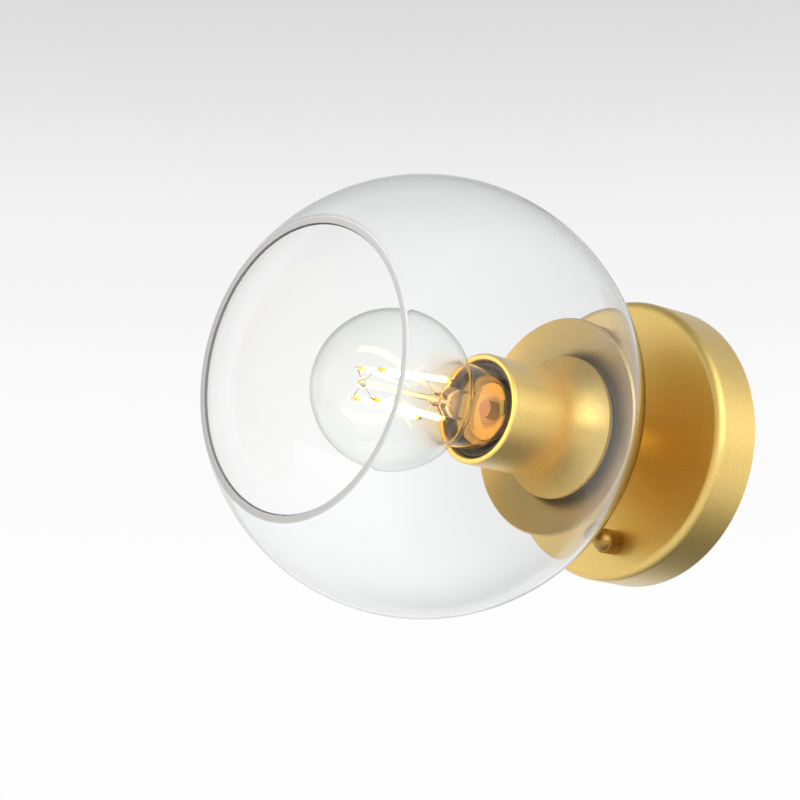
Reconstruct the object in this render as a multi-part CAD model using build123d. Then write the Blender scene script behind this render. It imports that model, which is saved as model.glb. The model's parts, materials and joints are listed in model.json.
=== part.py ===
from build123d import *
from math import acos, cos, pi, radians, sin, sqrt
import os

# Wall sconce: a clear glass globe, open at the front, on a trumpet-shaped socket cup that stands off a round canopy.
# Sizes are in millimetres. The wall is the plane Y = 0, the lamp's axis runs along -Y, and +Z is up.
# "Out" is a distance from the wall along that axis, and a radius is measured from it unless the name says otherwise.

# Fits
THREAD_CLEARANCE = 0.05  # radial, between a thread or shank and its hole
SEAT_GAP = 0.1  # between curved faces that lie on each other
STUD_HOLE_CLEARANCE = 0.3  # radial, where the canopy drops over its studs
SPIGOT_CLEARANCE = 0.5  # radial, between the socket cup's spigot and the hole in the glass

# Canopy
CANOPY_RADIUS = 60.2
CANOPY_DEPTH = 22.0
CANOPY_WALL = 1.2
CANOPY_EDGE_RADIUS = 3.5

# Crossbar behind the canopy, screwed to the wall box through its two slots
CROSSBAR_END = 7.5  # past each stud
CROSSBAR_WIDTH = 16.0
CROSSBAR_THICKNESS = 2.0
CROSSBAR_WIRE_HOLE_RADIUS = 5.5
STUD_TO_SLOT = 9.525  # between the middles of a stud's hole and of the slot beside it
BOX_SLOT_LENGTH = 11.0
BOX_SLOT_WIDTH = 4.6

# Studs that carry the canopy, and the knurled cap nuts on them
STUD_SPACING = 88.9
STUD_RADIUS = 2.0
STUD_HEAD_RADIUS = 3.0
STUD_HEAD_HEIGHT = 1.0
STUD_REACH = 6.5
CAP_NUT_RADIUS = 5.2
CAP_NUT_KNURL_LENGTH = 6.8
CAP_NUT_RIDGES = 36
CAP_NUT_RIDGE_DEPTH = 0.35
CAP_NUT_DOME_RADIUS = 4.5
CAP_NUT_DOME_HEIGHT = 4.4
CAP_NUT_BORE_SPARE = 1.0

# Ground screw on the crossbar
GROUND_SCREW_DROP = 18.0
GROUND_SCREW_RADIUS = 1.9
GROUND_SCREW_HEAD_RADIUS = 4.0
GROUND_SCREW_HEAD_HEIGHT = 2.2
GROUND_SCREW_SLOT_WIDTH = 0.9
GROUND_SCREW_SLOT_DEPTH = 1.0

# Terminal block on the crossbar
BLOCK_WIDTH = 18.0
BLOCK_HEIGHT = 13.0
BLOCK_DEPTH = 11.0
BLOCK_RISE = 11.0  # from the axis up to its lower face
BLOCK_CORNER_RADIUS = 1.0
POLE_SPACING = 11.0
POLE_SCREW_SPACING = 7.0
POLE_SCREW_RADIUS = 1.6
POLE_SCREW_RECESS = 0.6
SUPPLY_HOLE_WIDTH = 3.2
SUPPLY_HOLE_DEPTH = 4.0
BLOCK_SCREW_RADIUS = 1.5
BLOCK_SCREW_HEAD_RADIUS = 2.6
BLOCK_SCREW_HEAD_HEIGHT = 1.6

# Threaded nipple with its lock nuts and washers
NIPPLE_RADIUS = 5.0
NIPPLE_BORE_RADIUS = 3.9
NIPPLE_TAIL = 7.8  # from the canopy's inner face towards the wall
NIPPLE_LEAD_IN = 1.4  # past the floor of the socket cap
LOCK_NUT_SIDES = 6
LOCK_NUT_FLATS = 15.0  # across them
LOCK_NUT_HEIGHT = 4.0
LOCK_WASHER_RADIUS = 9.0
LOCK_WASHER_THICKNESS = 0.8

# Stem between the canopy and the glass holder
STEM_RADIUS = 11.0
STEM_LENGTH = 23.6
STEM_EDGE_RADIUS = 0.6

# Glass holder, a dish that hugs the back of the globe
HOLDER_RADIUS = 46.2
HOLDER_WALL = 1.5
HOLDER_FLOOR = 2.0
HOLDER_FLOOR_RADIUS = 25.5
HOLDER_GASKET = 1.0
HOLDER_GASKET_INNER_RADIUS = 26.0
HOLDER_GASKET_OUTER_RADIUS = 29.6

# Glass globe
GLOBE_RADIUS = 89.0
GLOBE_WALL = 2.8
GLOBE_MOUTH_RADIUS = 59.9
GLOBE_HOLE_RADIUS = 25.0

# Socket cup, the trumpet inside the globe
CUP_RADIUS = 22.9
CUP_WALL = 2.6
CUP_LENGTH = 57.1
CUP_FLOOR = 2.5
CUP_LIP_RADIUS = 1.0
FLANGE_RADIUS = 30.3
FLANGE_EDGE = 1.6
FLARE_RADIUS = 24.0
CUP_GASKET = 1.2
CUP_GASKET_MARGIN = 0.8  # from the flange's edge and from the hole in the glass

# Socket
SOCKET_CLEARANCE = 0.6  # radial, inside the cup
SOCKET_RECESS = 2.0  # of its rim behind the cup's lip
SOCKET_CAP_RADIUS = 17.0
SOCKET_CAP_WALL = 2.0
SOCKET_CAP_FLOOR = 4.5
SOCKET_CHAMBER_DEPTH = 6.4
SOCKET_PARTITION = 3.0
SOCKET_WELL_RADIUS = 11.5
SOCKET_WELL_DEPTH = 6.0
SOCKET_MOUTH_RADIUS = 17.9
SOCKET_MOUTH_DEPTH = 3.4
SOCKET_FUNNEL_DEPTH = 2.5
SOCKET_RIM_RADIUS = 0.7
SOCKET_SHELL_LENGTH = 17.5
SOCKET_THREAD_CLEARANCE = 0.2  # radial, around the bulb's thread
SET_SCREW_RADIUS = 1.4
TERMINAL_SPREAD = 18.0
TERMINAL_SCREW_RADIUS = 1.4
TERMINAL_SCREW_DEPTH = 2.5
TERMINAL_HEAD_RADIUS = 2.6
TERMINAL_HEAD_HEIGHT = 1.8
CONTACT_HEIGHT = 2.2
CONTACT_SHEET = 0.5
CONTACT_WIDTH = 5.0
CONTACT_FOOT_START = -7.0
CONTACT_FOOT_END = -1.5
CONTACT_TIP = 3.5

# Leads from the socket to the terminal block
LEAD_RADIUS = 0.95
LEAD_SPACING = 2.4
LEAD_CLEARANCE = 0.2
LEAD_SOCKET_BEND = 2.3
LEAD_CANOPY_BEND = 4.0
LEAD_SPREAD_BEND = 9.0
LEAD_DEPTH_IN_CANOPY = 8.0  # out from the wall
LEAD_GRIP = 3.0  # length inside the terminal block

# Bulb
BULB_RADIUS = 32.3
BULB_LENGTH = 112.7
BULB_WALL = 0.9
BULB_NECK_RADIUS = 17.2
BULB_NECK_FILLET = 10.0
BULB_TAPER = 8.0
BULB_SEAL_RADIUS = 13.0
BULB_SEAL_LENGTH = 4.0
BASE_LENGTH = 26.5
BASE_SHEET = 0.35
BASE_COLLAR_LENGTH = 4.2
BASE_INSULATOR_LENGTH = 3.6
BASE_INSULATOR_PLUG = 2.0
BASE_CONTACT_RADIUS = 4.6
BASE_CONTACT_HEIGHT = 1.4
SCREW_PITCH = 3.63
SCREW_CREST_RADIUS = 12.9
SCREW_DEPTH = 0.7
SCREW_RINGS = 4
BULB_STEM_FLARE_LENGTH = 12.0
BULB_STEM_RADIUS = 6.2
BULB_STEM_WALL = 1.0
BULB_STEM_LENGTH = 26.0
BULB_PINCH_RADIUS = 2.7
BULB_PINCH_SPARE = 1.5  # past the filaments' rear ends
BULB_ROD_RADIUS = 1.5
BULB_BEAD_RADIUS = 2.2
BULB_BEAD_AHEAD = 15.3  # of the centre of the bulb's sphere
FILAMENTS = 4
FILAMENT_FIRST_ANGLE = 32.0
FILAMENT_RADIUS = 1.1
FILAMENT_AHEAD = 13.0  # front ends, from the centre of the bulb's sphere
FILAMENT_SPAN = 35.5
FILAMENT_FRONT_SPREAD = 8.2
FILAMENT_REAR_SPREAD = 11.2
FILAMENT_WIRE_RADIUS = 0.25
DRIVER_CLEARANCE = 0.3
DRIVER_BOARD_RISE = 24.2  # from the tip of the base
DRIVER_BOARD_THICKNESS = 1.2
CAPACITOR_RADIUS = 3.6
CAPACITOR_LENGTH = 6.0
CAPACITOR_OFFSET = 2.6
CHIP_LENGTH = 3.2
CHIP_WIDTH = 6.0
CHIP_HEIGHT = 1.5
CHIP_OFFSET = 8.4

# Distances out from the wall, from the canopy to the globe's mouth
canopy_inside = CANOPY_DEPTH - CANOPY_WALL
holder_back = CANOPY_DEPTH + STEM_LENGTH
holder_floor = holder_back + HOLDER_FLOOR
holder_sphere = GLOBE_RADIUS + HOLDER_GASKET
globe_centre = holder_floor + sqrt(holder_sphere**2 - HOLDER_FLOOR_RADIUS**2)
globe_inner_radius = GLOBE_RADIUS - GLOBE_WALL
globe_mouth = globe_centre + sqrt(GLOBE_RADIUS**2 - GLOBE_MOUTH_RADIUS**2)
cup_floor = holder_floor + CUP_FLOOR
cup_lip = holder_floor + CUP_LENGTH
cup_bore_radius = CUP_RADIUS - CUP_WALL
socket_cap_back = cup_floor + LOCK_WASHER_THICKNESS + LOCK_NUT_HEIGHT
socket_cap_floor = socket_cap_back + SOCKET_CAP_FLOOR
socket_back = socket_cap_floor + SOCKET_CHAMBER_DEPTH
socket_partition_front = socket_back + SOCKET_PARTITION
socket_shell_back = socket_partition_front + SOCKET_WELL_DEPTH
socket_rim = cup_lip - SOCKET_RECESS
nipple_back = canopy_inside - NIPPLE_TAIL
nipple_front = socket_cap_floor + NIPPLE_LEAD_IN
nipple_hole_radius = NIPPLE_RADIUS + THREAD_CLEARANCE
stud_end = CANOPY_DEPTH + STUD_REACH

# Along the crossbar
crossbar_length = STUD_SPACING + 2 * CROSSBAR_END
box_slot_spacing = STUD_SPACING - 2 * STUD_TO_SLOT

# Distances out from the wall, along the bulb
bulb_tip = socket_partition_front + CONTACT_HEIGHT + SEAT_GAP
bulb_pole = bulb_tip + BULB_LENGTH
bulb_centre = bulb_pole - BULB_RADIUS
filament_front = bulb_centre + FILAMENT_AHEAD
filament_rear = filament_front - FILAMENT_SPAN
base_insulator_back = bulb_tip + BASE_CONTACT_HEIGHT
base_screw_back = base_insulator_back + BASE_INSULATOR_LENGTH
base_screw_front = base_screw_back + SCREW_RINGS * SCREW_PITCH
base_front = bulb_tip + BASE_LENGTH
base_collar_back = base_front - BASE_COLLAR_LENGTH
base_collar_radius = BULB_SEAL_RADIUS + THREAD_CLEARANCE + BASE_SHEET
base_mid_radius = SCREW_CREST_RADIUS - SCREW_DEPTH / 2
base_root_inner_radius = SCREW_CREST_RADIUS - SCREW_DEPTH - BASE_SHEET
socket_thread_swing = SCREW_DEPTH / 4  # either way, half the swing of the bulb's thread

LAMP_AXIS = Axis((0, 0, 0), (0, -1, 0))
OUTLINE_PLANE = Plane(origin=(0, 0, 0), x_dir=(1, 0, 0), z_dir=(0, 0, -1))


def turned(*edges):
    """A solid turned about the lamp's axis from a closed outline drawn as (radius, out)."""
    return revolve(OUTLINE_PLANE * make_face(edges), axis=LAMP_AXIS)


def facing(out):
    """The plane across the axis at a distance out from the wall. Its x and y run along X and Z."""
    return Plane(origin=(0, -out, 0), x_dir=(1, 0, 0), z_dir=(0, -1, 0))


def plate(sketch, start, end):
    """A flat outline in X and Z, thickened between two distances out from the wall."""
    return extrude(facing(start) * sketch, amount=end - start)


def bar(radius, start, end, x=0, z=0):
    """A round bar along the axis's direction, standing at X and Z."""
    return plate(Pos(x, z) * Circle(radius), start, end)


def ring(outer_radius, inner_radius, start, end):
    """A flat ring about the axis."""
    return plate(Circle(outer_radius) - Circle(inner_radius), start, end)


def strut(radius, start, end):
    """A straight round wire between two points."""
    along = end - start
    return extrude(Plane(origin=start, z_dir=along) * Circle(radius), amount=along.length)


def place(x, out, z):
    """A point from its X, its distance out from the wall and its Z."""
    return Vector(x, -out, z)


def behind_globe(sphere, radius):
    """How far out a sphere about the globe's centre lies at a radius, on the wall's side."""
    return globe_centre - sqrt(sphere**2 - radius**2)


def sphere_arc(sphere, start_radius, end_radius):
    """An arc of such a sphere, on the wall's side."""
    middle_radius = (start_radius + end_radius) / 2
    radii = (start_radius, middle_radius, end_radius)
    return ThreePointArc(*[(radius, behind_globe(sphere, radius)) for radius in radii])


def sphere_ring(outer_sphere, inner_sphere, inner_radius, outer_radius):
    """A thin ring between two such spheres, as a gasket that lies on the glass."""
    outer_arc = sphere_arc(outer_sphere, inner_radius, outer_radius)
    inner_arc = sphere_arc(inner_sphere, outer_radius, inner_radius)
    rim = Line(outer_arc @ 1, inner_arc @ 0)
    hole = Line(inner_arc @ 1, outer_arc @ 0)
    return turned(outer_arc, rim, inner_arc, hole)


def thread_arcs(start, middle_radius, swing, rings):
    """The rounded rings of a rolled thread, each a crest and a root."""
    arcs = []
    for step in range(2 * rings):
        side = 1 if step % 2 == 0 else -1
        low = start + step * SCREW_PITCH / 2
        top = (middle_radius + side * swing, low + SCREW_PITCH / 4)
        arcs.append(ThreePointArc((middle_radius, low), top, (middle_radius, low + SCREW_PITCH / 2)))
    return arcs


def dome(radius, edge, height):
    """A round cap on the axis: its edge's distance out, and how far it stands away from the wall, or towards it."""
    sphere = (radius**2 + height**2) / (2 * abs(height))
    side = 1 if height > 0 else -1
    centre = edge + height - side * sphere
    half_angle = acos((sphere - abs(height)) / sphere) / 2
    middle = (sphere * sin(half_angle), centre + side * sphere * cos(half_angle))
    rim = (radius, edge)
    top = (0, edge + height)
    return turned(ThreePointArc(rim, middle, top), Polyline(top, (0, edge), rim))


def canopy():
    """Spun pan with a rounded front edge, open at the wall."""
    outline = FilletPolyline(
        (CANOPY_RADIUS, 0),
        (CANOPY_RADIUS, CANOPY_DEPTH),
        (nipple_hole_radius, CANOPY_DEPTH),
        (nipple_hole_radius, canopy_inside),
        (CANOPY_RADIUS - CANOPY_WALL, canopy_inside),
        (CANOPY_RADIUS - CANOPY_WALL, 0),
        radius=[0, CANOPY_EDGE_RADIUS, 0, 0, CANOPY_EDGE_RADIUS - CANOPY_WALL, 0],
        close=True,
    )
    pan = turned(outline)
    for side in (-1, 1):
        hole_radius = STUD_RADIUS + STUD_HOLE_CLEARANCE
        pan -= bar(hole_radius, 0, CANOPY_DEPTH, z=side * STUD_SPACING / 2)
    return pan


def crossbar():
    """Flat steel strap with a slot for each box screw, and counterbored holes for the studs' heads."""
    strap = SlotOverall(crossbar_length, CROSSBAR_WIDTH, rotation=90)
    strap -= Circle(CROSSBAR_WIRE_HOLE_RADIUS)
    strap -= Pos(0, -GROUND_SCREW_DROP) * Circle(GROUND_SCREW_RADIUS + THREAD_CLEARANCE)
    strap -= Pos(0, BLOCK_RISE + BLOCK_HEIGHT / 2) * Circle(BLOCK_SCREW_RADIUS + THREAD_CLEARANCE)
    for side in (-1, 1):
        slot = SlotOverall(BOX_SLOT_LENGTH, BOX_SLOT_WIDTH, rotation=90)
        strap -= Pos(0, side * box_slot_spacing / 2) * slot
        strap -= Pos(0, side * STUD_SPACING / 2) * Circle(STUD_RADIUS + THREAD_CLEARANCE)
    body = plate(strap, 0, CROSSBAR_THICKNESS)
    for side in (-1, 1):
        body -= bar(STUD_HEAD_RADIUS + THREAD_CLEARANCE, 0, STUD_HEAD_HEIGHT, z=side * STUD_SPACING / 2)
    return body


def canopy_studs():
    """Two threaded studs, their thin heads flush with the crossbar's back."""
    pair = []
    for side in (-1, 1):
        height = side * STUD_SPACING / 2
        shank = bar(STUD_RADIUS, 0, stud_end, z=height)
        head = bar(STUD_HEAD_RADIUS, 0, STUD_HEAD_HEIGHT, z=height)
        pair.append(shank + head)
    return pair


def cap_nut(side):
    """Knurled nut with a blind hole and a domed end, standing on the canopy over one stud."""
    seat = CANOPY_DEPTH + SEAT_GAP
    shoulder = seat + CAP_NUT_KNURL_LENGTH
    points = []
    for step in range(2 * CAP_NUT_RIDGES):
        angle = step * pi / CAP_NUT_RIDGES
        radius = CAP_NUT_RADIUS - (step % 2) * CAP_NUT_RIDGE_DEPTH
        points.append((radius * cos(angle), radius * sin(angle)))
    knurl = plate(Polygon(*points, align=None), seat, shoulder)
    end = dome(CAP_NUT_DOME_RADIUS, shoulder, CAP_NUT_DOME_HEIGHT)
    hole = bar(STUD_RADIUS + THREAD_CLEARANCE, seat, stud_end + CAP_NUT_BORE_SPARE)
    return Pos(0, 0, side * STUD_SPACING / 2) * (knurl + end - hole)


def ground_screw():
    """Slotted screw on the crossbar for the ground wire."""
    top = CROSSBAR_THICKNESS + GROUND_SCREW_HEAD_HEIGHT
    shank = bar(GROUND_SCREW_RADIUS, 0, CROSSBAR_THICKNESS)
    head = bar(GROUND_SCREW_HEAD_RADIUS, CROSSBAR_THICKNESS, top)
    slot_outline = Rectangle(2 * GROUND_SCREW_HEAD_RADIUS, GROUND_SCREW_SLOT_WIDTH)
    slot = plate(slot_outline, top - GROUND_SCREW_SLOT_DEPTH, top)
    return Pos(0, 0, -GROUND_SCREW_DROP) * (shank + head - slot)


def pole_screw_heights():
    """How high the two clamp screws of a pole stand above the axis."""
    middle = BLOCK_RISE + BLOCK_HEIGHT / 2
    return (middle - POLE_SCREW_SPACING / 2, middle + POLE_SCREW_SPACING / 2)


def terminal_block():
    """Moulded two-pole block: leads enter from below, the supply from above, clamp screws from the front."""
    front = CROSSBAR_THICKNESS + BLOCK_DEPTH
    middle = BLOCK_RISE + BLOCK_HEIGHT / 2
    outline = RectangleRounded(BLOCK_WIDTH, BLOCK_HEIGHT, BLOCK_CORNER_RADIUS)
    block = plate(Pos(0, middle) * outline, CROSSBAR_THICKNESS, front)
    lead_hole_radius = LEAD_RADIUS + LEAD_CLEARANCE
    lead_hole_end = BLOCK_RISE + LEAD_GRIP + LEAD_CLEARANCE
    screw_tip = LEAD_DEPTH_IN_CANOPY + lead_hole_radius
    for side in (-1, 1):
        pole = side * POLE_SPACING / 2
        mouth = place(pole, LEAD_DEPTH_IN_CANOPY, BLOCK_RISE)
        block -= strut(lead_hole_radius, mouth, place(pole, LEAD_DEPTH_IN_CANOPY, lead_hole_end))
        supply = Box(SUPPLY_HOLE_WIDTH, SUPPLY_HOLE_WIDTH, SUPPLY_HOLE_DEPTH)
        supply_middle = BLOCK_RISE + BLOCK_HEIGHT - SUPPLY_HOLE_DEPTH / 2
        block -= Pos(pole, -LEAD_DEPTH_IN_CANOPY, supply_middle) * supply
        for height in pole_screw_heights():
            block -= bar(POLE_SCREW_RADIUS + THREAD_CLEARANCE, screw_tip, front, pole, height)
    block -= bar(BLOCK_SCREW_RADIUS + THREAD_CLEARANCE, CROSSBAR_THICKNESS, front, z=middle)
    head_seat = front - BLOCK_SCREW_HEAD_HEIGHT
    return block - bar(BLOCK_SCREW_HEAD_RADIUS + THREAD_CLEARANCE, head_seat, front, z=middle)


def terminal_block_clamps():
    """Four slotless clamp screws, sunk a little below the block's front."""
    tip = LEAD_DEPTH_IN_CANOPY + LEAD_RADIUS + LEAD_CLEARANCE
    head = CROSSBAR_THICKNESS + BLOCK_DEPTH - POLE_SCREW_RECESS
    screws = []
    for side in (-1, 1):
        for height in pole_screw_heights():
            screws.append(bar(POLE_SCREW_RADIUS, tip, head, side * POLE_SPACING / 2, height))
    return screws


def terminal_block_screw():
    """Screw that holds the block to the crossbar."""
    front = CROSSBAR_THICKNESS + BLOCK_DEPTH
    shank = bar(BLOCK_SCREW_RADIUS, 0, front)
    head = bar(BLOCK_SCREW_HEAD_RADIUS, front - BLOCK_SCREW_HEAD_HEIGHT, front)
    return Pos(0, 0, BLOCK_RISE + BLOCK_HEIGHT / 2) * (shank + head)


def nipple():
    """Threaded tube on which everything is stacked, with the leads inside."""
    return ring(NIPPLE_RADIUS, NIPPLE_BORE_RADIUS, nipple_back, nipple_front)


def lock_washer(start):
    """Flat steel washer on the nipple."""
    return ring(LOCK_WASHER_RADIUS, nipple_hole_radius, start, start + LOCK_WASHER_THICKNESS)


def lock_nut(start):
    """Thin hexagon nut on the nipple."""
    hexagon = RegularPolygon(LOCK_NUT_FLATS / 2, LOCK_NUT_SIDES, major_radius=False)
    return plate(hexagon - Circle(nipple_hole_radius), start, start + LOCK_NUT_HEIGHT)


def stem():
    """Short tube from the canopy to the glass holder."""
    outline = FilletPolyline(
        (nipple_hole_radius, CANOPY_DEPTH),
        (STEM_RADIUS, CANOPY_DEPTH),
        (STEM_RADIUS, holder_back),
        (nipple_hole_radius, holder_back),
        radius=[0, STEM_EDGE_RADIUS, STEM_EDGE_RADIUS, 0],
        close=True,
    )
    return turned(outline)


def glass_holder():
    """Spun dish with a flat floor, its rim cut square to the glass."""
    outer_sphere = holder_sphere + HOLDER_WALL
    outer_floor_radius = sqrt(outer_sphere**2 - (globe_centre - holder_back) ** 2)
    inner_arc = sphere_arc(holder_sphere, HOLDER_FLOOR_RADIUS, HOLDER_RADIUS)
    outer_rim_radius = HOLDER_RADIUS * outer_sphere / holder_sphere
    outer_arc = sphere_arc(outer_sphere, outer_rim_radius, outer_floor_radius)
    rim = Line(inner_arc @ 1, outer_arc @ 0)
    floor = Polyline(
        outer_arc @ 1,
        (nipple_hole_radius, holder_back),
        (nipple_hole_radius, holder_floor),
        inner_arc @ 0,
    )
    return turned(inner_arc, rim, outer_arc, floor)


def holder_gasket():
    """Soft ring between the holder and the outside of the glass."""
    return sphere_ring(
        holder_sphere - SEAT_GAP,
        GLOBE_RADIUS + SEAT_GAP,
        HOLDER_GASKET_INNER_RADIUS,
        HOLDER_GASKET_OUTER_RADIUS,
    )


def glass_globe():
    """Blown globe, cut flat at the mouth, with a ground hole at the back."""
    inner_mouth_radius = sqrt(globe_inner_radius**2 - (globe_mouth - globe_centre) ** 2)
    outer_back = (GLOBE_HOLE_RADIUS, behind_globe(GLOBE_RADIUS, GLOBE_HOLE_RADIUS))
    inner_back = (GLOBE_HOLE_RADIUS, behind_globe(globe_inner_radius, GLOBE_HOLE_RADIUS))
    outer_mouth = (GLOBE_MOUTH_RADIUS, globe_mouth)
    inner_mouth = (inner_mouth_radius, globe_mouth)
    outside = ThreePointArc(outer_back, (GLOBE_RADIUS, globe_centre), outer_mouth)
    inside = ThreePointArc(inner_mouth, (globe_inner_radius, globe_centre), inner_back)
    return turned(outside, Line(outer_mouth, inner_mouth), inside, Line(inner_back, outer_back))


def cup_gasket():
    """Soft ring between the inside of the glass and the cup's flange."""
    return sphere_ring(
        globe_inner_radius - SEAT_GAP,
        globe_inner_radius - CUP_GASKET + SEAT_GAP,
        GLOBE_HOLE_RADIUS + CUP_GASKET_MARGIN,
        FLANGE_RADIUS - CUP_GASKET_MARGIN,
    )


def socket_cup():
    """Trumpet: a tube with a rounded lip, flaring to a flange that clamps the glass, with a spigot through it."""
    underside = globe_inner_radius - CUP_GASKET
    spigot_radius = GLOBE_HOLE_RADIUS - SPIGOT_CLEARANCE
    flange_under = sphere_arc(underside, spigot_radius, FLANGE_RADIUS)
    flange_top = (FLANGE_RADIUS, behind_globe(underside, FLANGE_RADIUS) + FLANGE_EDGE)
    flare_cosine = 1 - (FLANGE_RADIUS - CUP_RADIUS) / FLARE_RADIUS
    flare_rise = FLARE_RADIUS * sqrt(1 - flare_cosine**2)
    flare_end = (CUP_RADIUS, flange_top[1] + flare_rise)
    half_cosine = sqrt((1 + flare_cosine) / 2)
    half_sine = sqrt((1 - flare_cosine) / 2)
    flare_middle = (
        CUP_RADIUS + FLARE_RADIUS * (1 - half_cosine),
        flare_end[1] - FLARE_RADIUS * half_sine,
    )
    flare = ThreePointArc(flange_top, flare_middle, flare_end)
    tube = FilletPolyline(
        flare_end,
        (CUP_RADIUS, cup_lip),
        (cup_bore_radius, cup_lip),
        (cup_bore_radius, cup_floor),
        (nipple_hole_radius, cup_floor),
        (nipple_hole_radius, holder_floor),
        (spigot_radius, holder_floor),
        flange_under @ 0,
        radius=[CUP_LIP_RADIUS, CUP_LIP_RADIUS, 0, 0, 0, 0],
    )
    return turned(flange_under, Line(flange_under @ 1, flange_top), flare, tube)


def socket_cap():
    """Rear half of the socket, threaded on the nipple, with a chamber for the leads."""
    outline = Polyline(
        (nipple_hole_radius, socket_cap_back),
        (SOCKET_CAP_RADIUS, socket_cap_back),
        (SOCKET_CAP_RADIUS, socket_back),
        (SOCKET_CAP_RADIUS - SOCKET_CAP_WALL, socket_back),
        (SOCKET_CAP_RADIUS - SOCKET_CAP_WALL, socket_cap_floor),
        (nipple_hole_radius, socket_cap_floor),
        close=True,
    )
    middle = socket_cap_back + SOCKET_CAP_FLOOR / 2
    screw_hole = strut(
        SET_SCREW_RADIUS + THREAD_CLEARANCE,
        place(0, middle, NIPPLE_RADIUS),
        place(0, middle, SOCKET_CAP_RADIUS),
    )
    return turned(outline) - screw_hole


def socket_set_screw():
    """Headless screw that stops the socket turning on the nipple."""
    middle = socket_cap_back + SOCKET_CAP_FLOOR / 2
    tip = place(0, middle, NIPPLE_RADIUS + SEAT_GAP)
    return strut(SET_SCREW_RADIUS, tip, place(0, middle, SOCKET_CAP_RADIUS))


def socket_body():
    """Moulded socket: a partition, a stepped well for the screw shell, and a wide mouth for the bulb's neck."""
    outer_radius = cup_bore_radius - SOCKET_CLEARANCE
    seat_radius = socket_shell_outer_radius() + SEAT_GAP
    mouth_back = socket_rim - SOCKET_MOUTH_DEPTH
    outline = FilletPolyline(
        (0, socket_back),
        (outer_radius, socket_back),
        (outer_radius, socket_rim),
        (SOCKET_MOUTH_RADIUS, socket_rim),
        (SOCKET_MOUTH_RADIUS, mouth_back),
        (seat_radius, mouth_back - SOCKET_FUNNEL_DEPTH),
        (seat_radius, socket_shell_back),
        (SOCKET_WELL_RADIUS, socket_shell_back),
        (SOCKET_WELL_RADIUS, socket_partition_front),
        (0, socket_partition_front),
        radius=[0, 0, SOCKET_RIM_RADIUS, SOCKET_RIM_RADIUS, 0, 0, 0, 0, 0, 0],
        close=True,
    )
    body = turned(outline)
    for side in (-1, 1):
        hole_radius = TERMINAL_SCREW_RADIUS + THREAD_CLEARANCE
        body -= bar(hole_radius, socket_back, socket_back + TERMINAL_SCREW_DEPTH, side * TERMINAL_SPREAD / 2)
    return body


def socket_thread_middle_radius():
    """Mean radius of the screw shell's inner face, clear of the bulb's thread."""
    return SCREW_CREST_RADIUS + SOCKET_THREAD_CLEARANCE + socket_thread_swing


def socket_shell_outer_radius():
    """Largest radius of the screw shell."""
    return socket_thread_middle_radius() + socket_thread_swing + BASE_SHEET


def socket_screw_shell():
    """Rolled metal shell with a shallow thread, open at both ends."""
    rings = int(SOCKET_SHELL_LENGTH / SCREW_PITCH)
    middle = socket_thread_middle_radius()
    inside = thread_arcs(socket_shell_back, middle, socket_thread_swing, rings)
    outside = thread_arcs(socket_shell_back, middle + BASE_SHEET, socket_thread_swing, rings)
    front_edge = Line(inside[-1] @ 1, outside[-1] @ 1)
    back_edge = Line(inside[0] @ 0, outside[0] @ 0)
    return turned(*inside, *outside, front_edge, back_edge)


def socket_contact():
    """Sprung brass tongue on the partition, under the tip of the bulb."""
    foot = socket_partition_front
    tip = socket_partition_front + CONTACT_HEIGHT
    outline = Polyline(
        (CONTACT_FOOT_START, foot),
        (CONTACT_FOOT_END, foot),
        (CONTACT_TIP, tip - CONTACT_SHEET),
        (CONTACT_TIP, tip),
        (CONTACT_FOOT_END, foot + CONTACT_SHEET),
        (CONTACT_FOOT_START, foot + CONTACT_SHEET),
        close=True,
    )
    return extrude(OUTLINE_PLANE * make_face(outline), amount=CONTACT_WIDTH / 2, both=True)


def socket_terminal_screws():
    """Two screws in the back of the socket that take the leads."""
    pair = []
    for side in (-1, 1):
        pole = side * TERMINAL_SPREAD / 2
        head = bar(TERMINAL_HEAD_RADIUS, socket_back - TERMINAL_HEAD_HEIGHT, socket_back, pole)
        shank = bar(TERMINAL_SCREW_RADIUS, socket_back, socket_back + TERMINAL_SCREW_DEPTH, pole)
        pair.append(head + shank)
    return pair


def lead(side):
    """Insulated lead from a socket terminal, through the nipple, to its pole of the terminal block."""
    terminal = side * (TERMINAL_SPREAD / 2 - TERMINAL_HEAD_RADIUS - SEAT_GAP)
    terminal_out = socket_back - LEAD_RADIUS - SEAT_GAP
    inside = side * LEAD_SPACING / 2
    pole = side * POLE_SPACING / 2
    route = FilletPolyline(
        place(terminal, terminal_out, 0),
        place(inside, terminal_out, 0),
        place(inside, LEAD_DEPTH_IN_CANOPY, 0),
        place(pole, LEAD_DEPTH_IN_CANOPY, BLOCK_RISE - LEAD_GRIP),
        place(pole, LEAD_DEPTH_IN_CANOPY, BLOCK_RISE + LEAD_GRIP),
        radius=[LEAD_SOCKET_BEND, LEAD_CANOPY_BEND, LEAD_SPREAD_BEND],
    )
    section = Plane(origin=route @ 0, z_dir=route % 0) * Circle(LEAD_RADIUS)
    return sweep(section, path=route)


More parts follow.
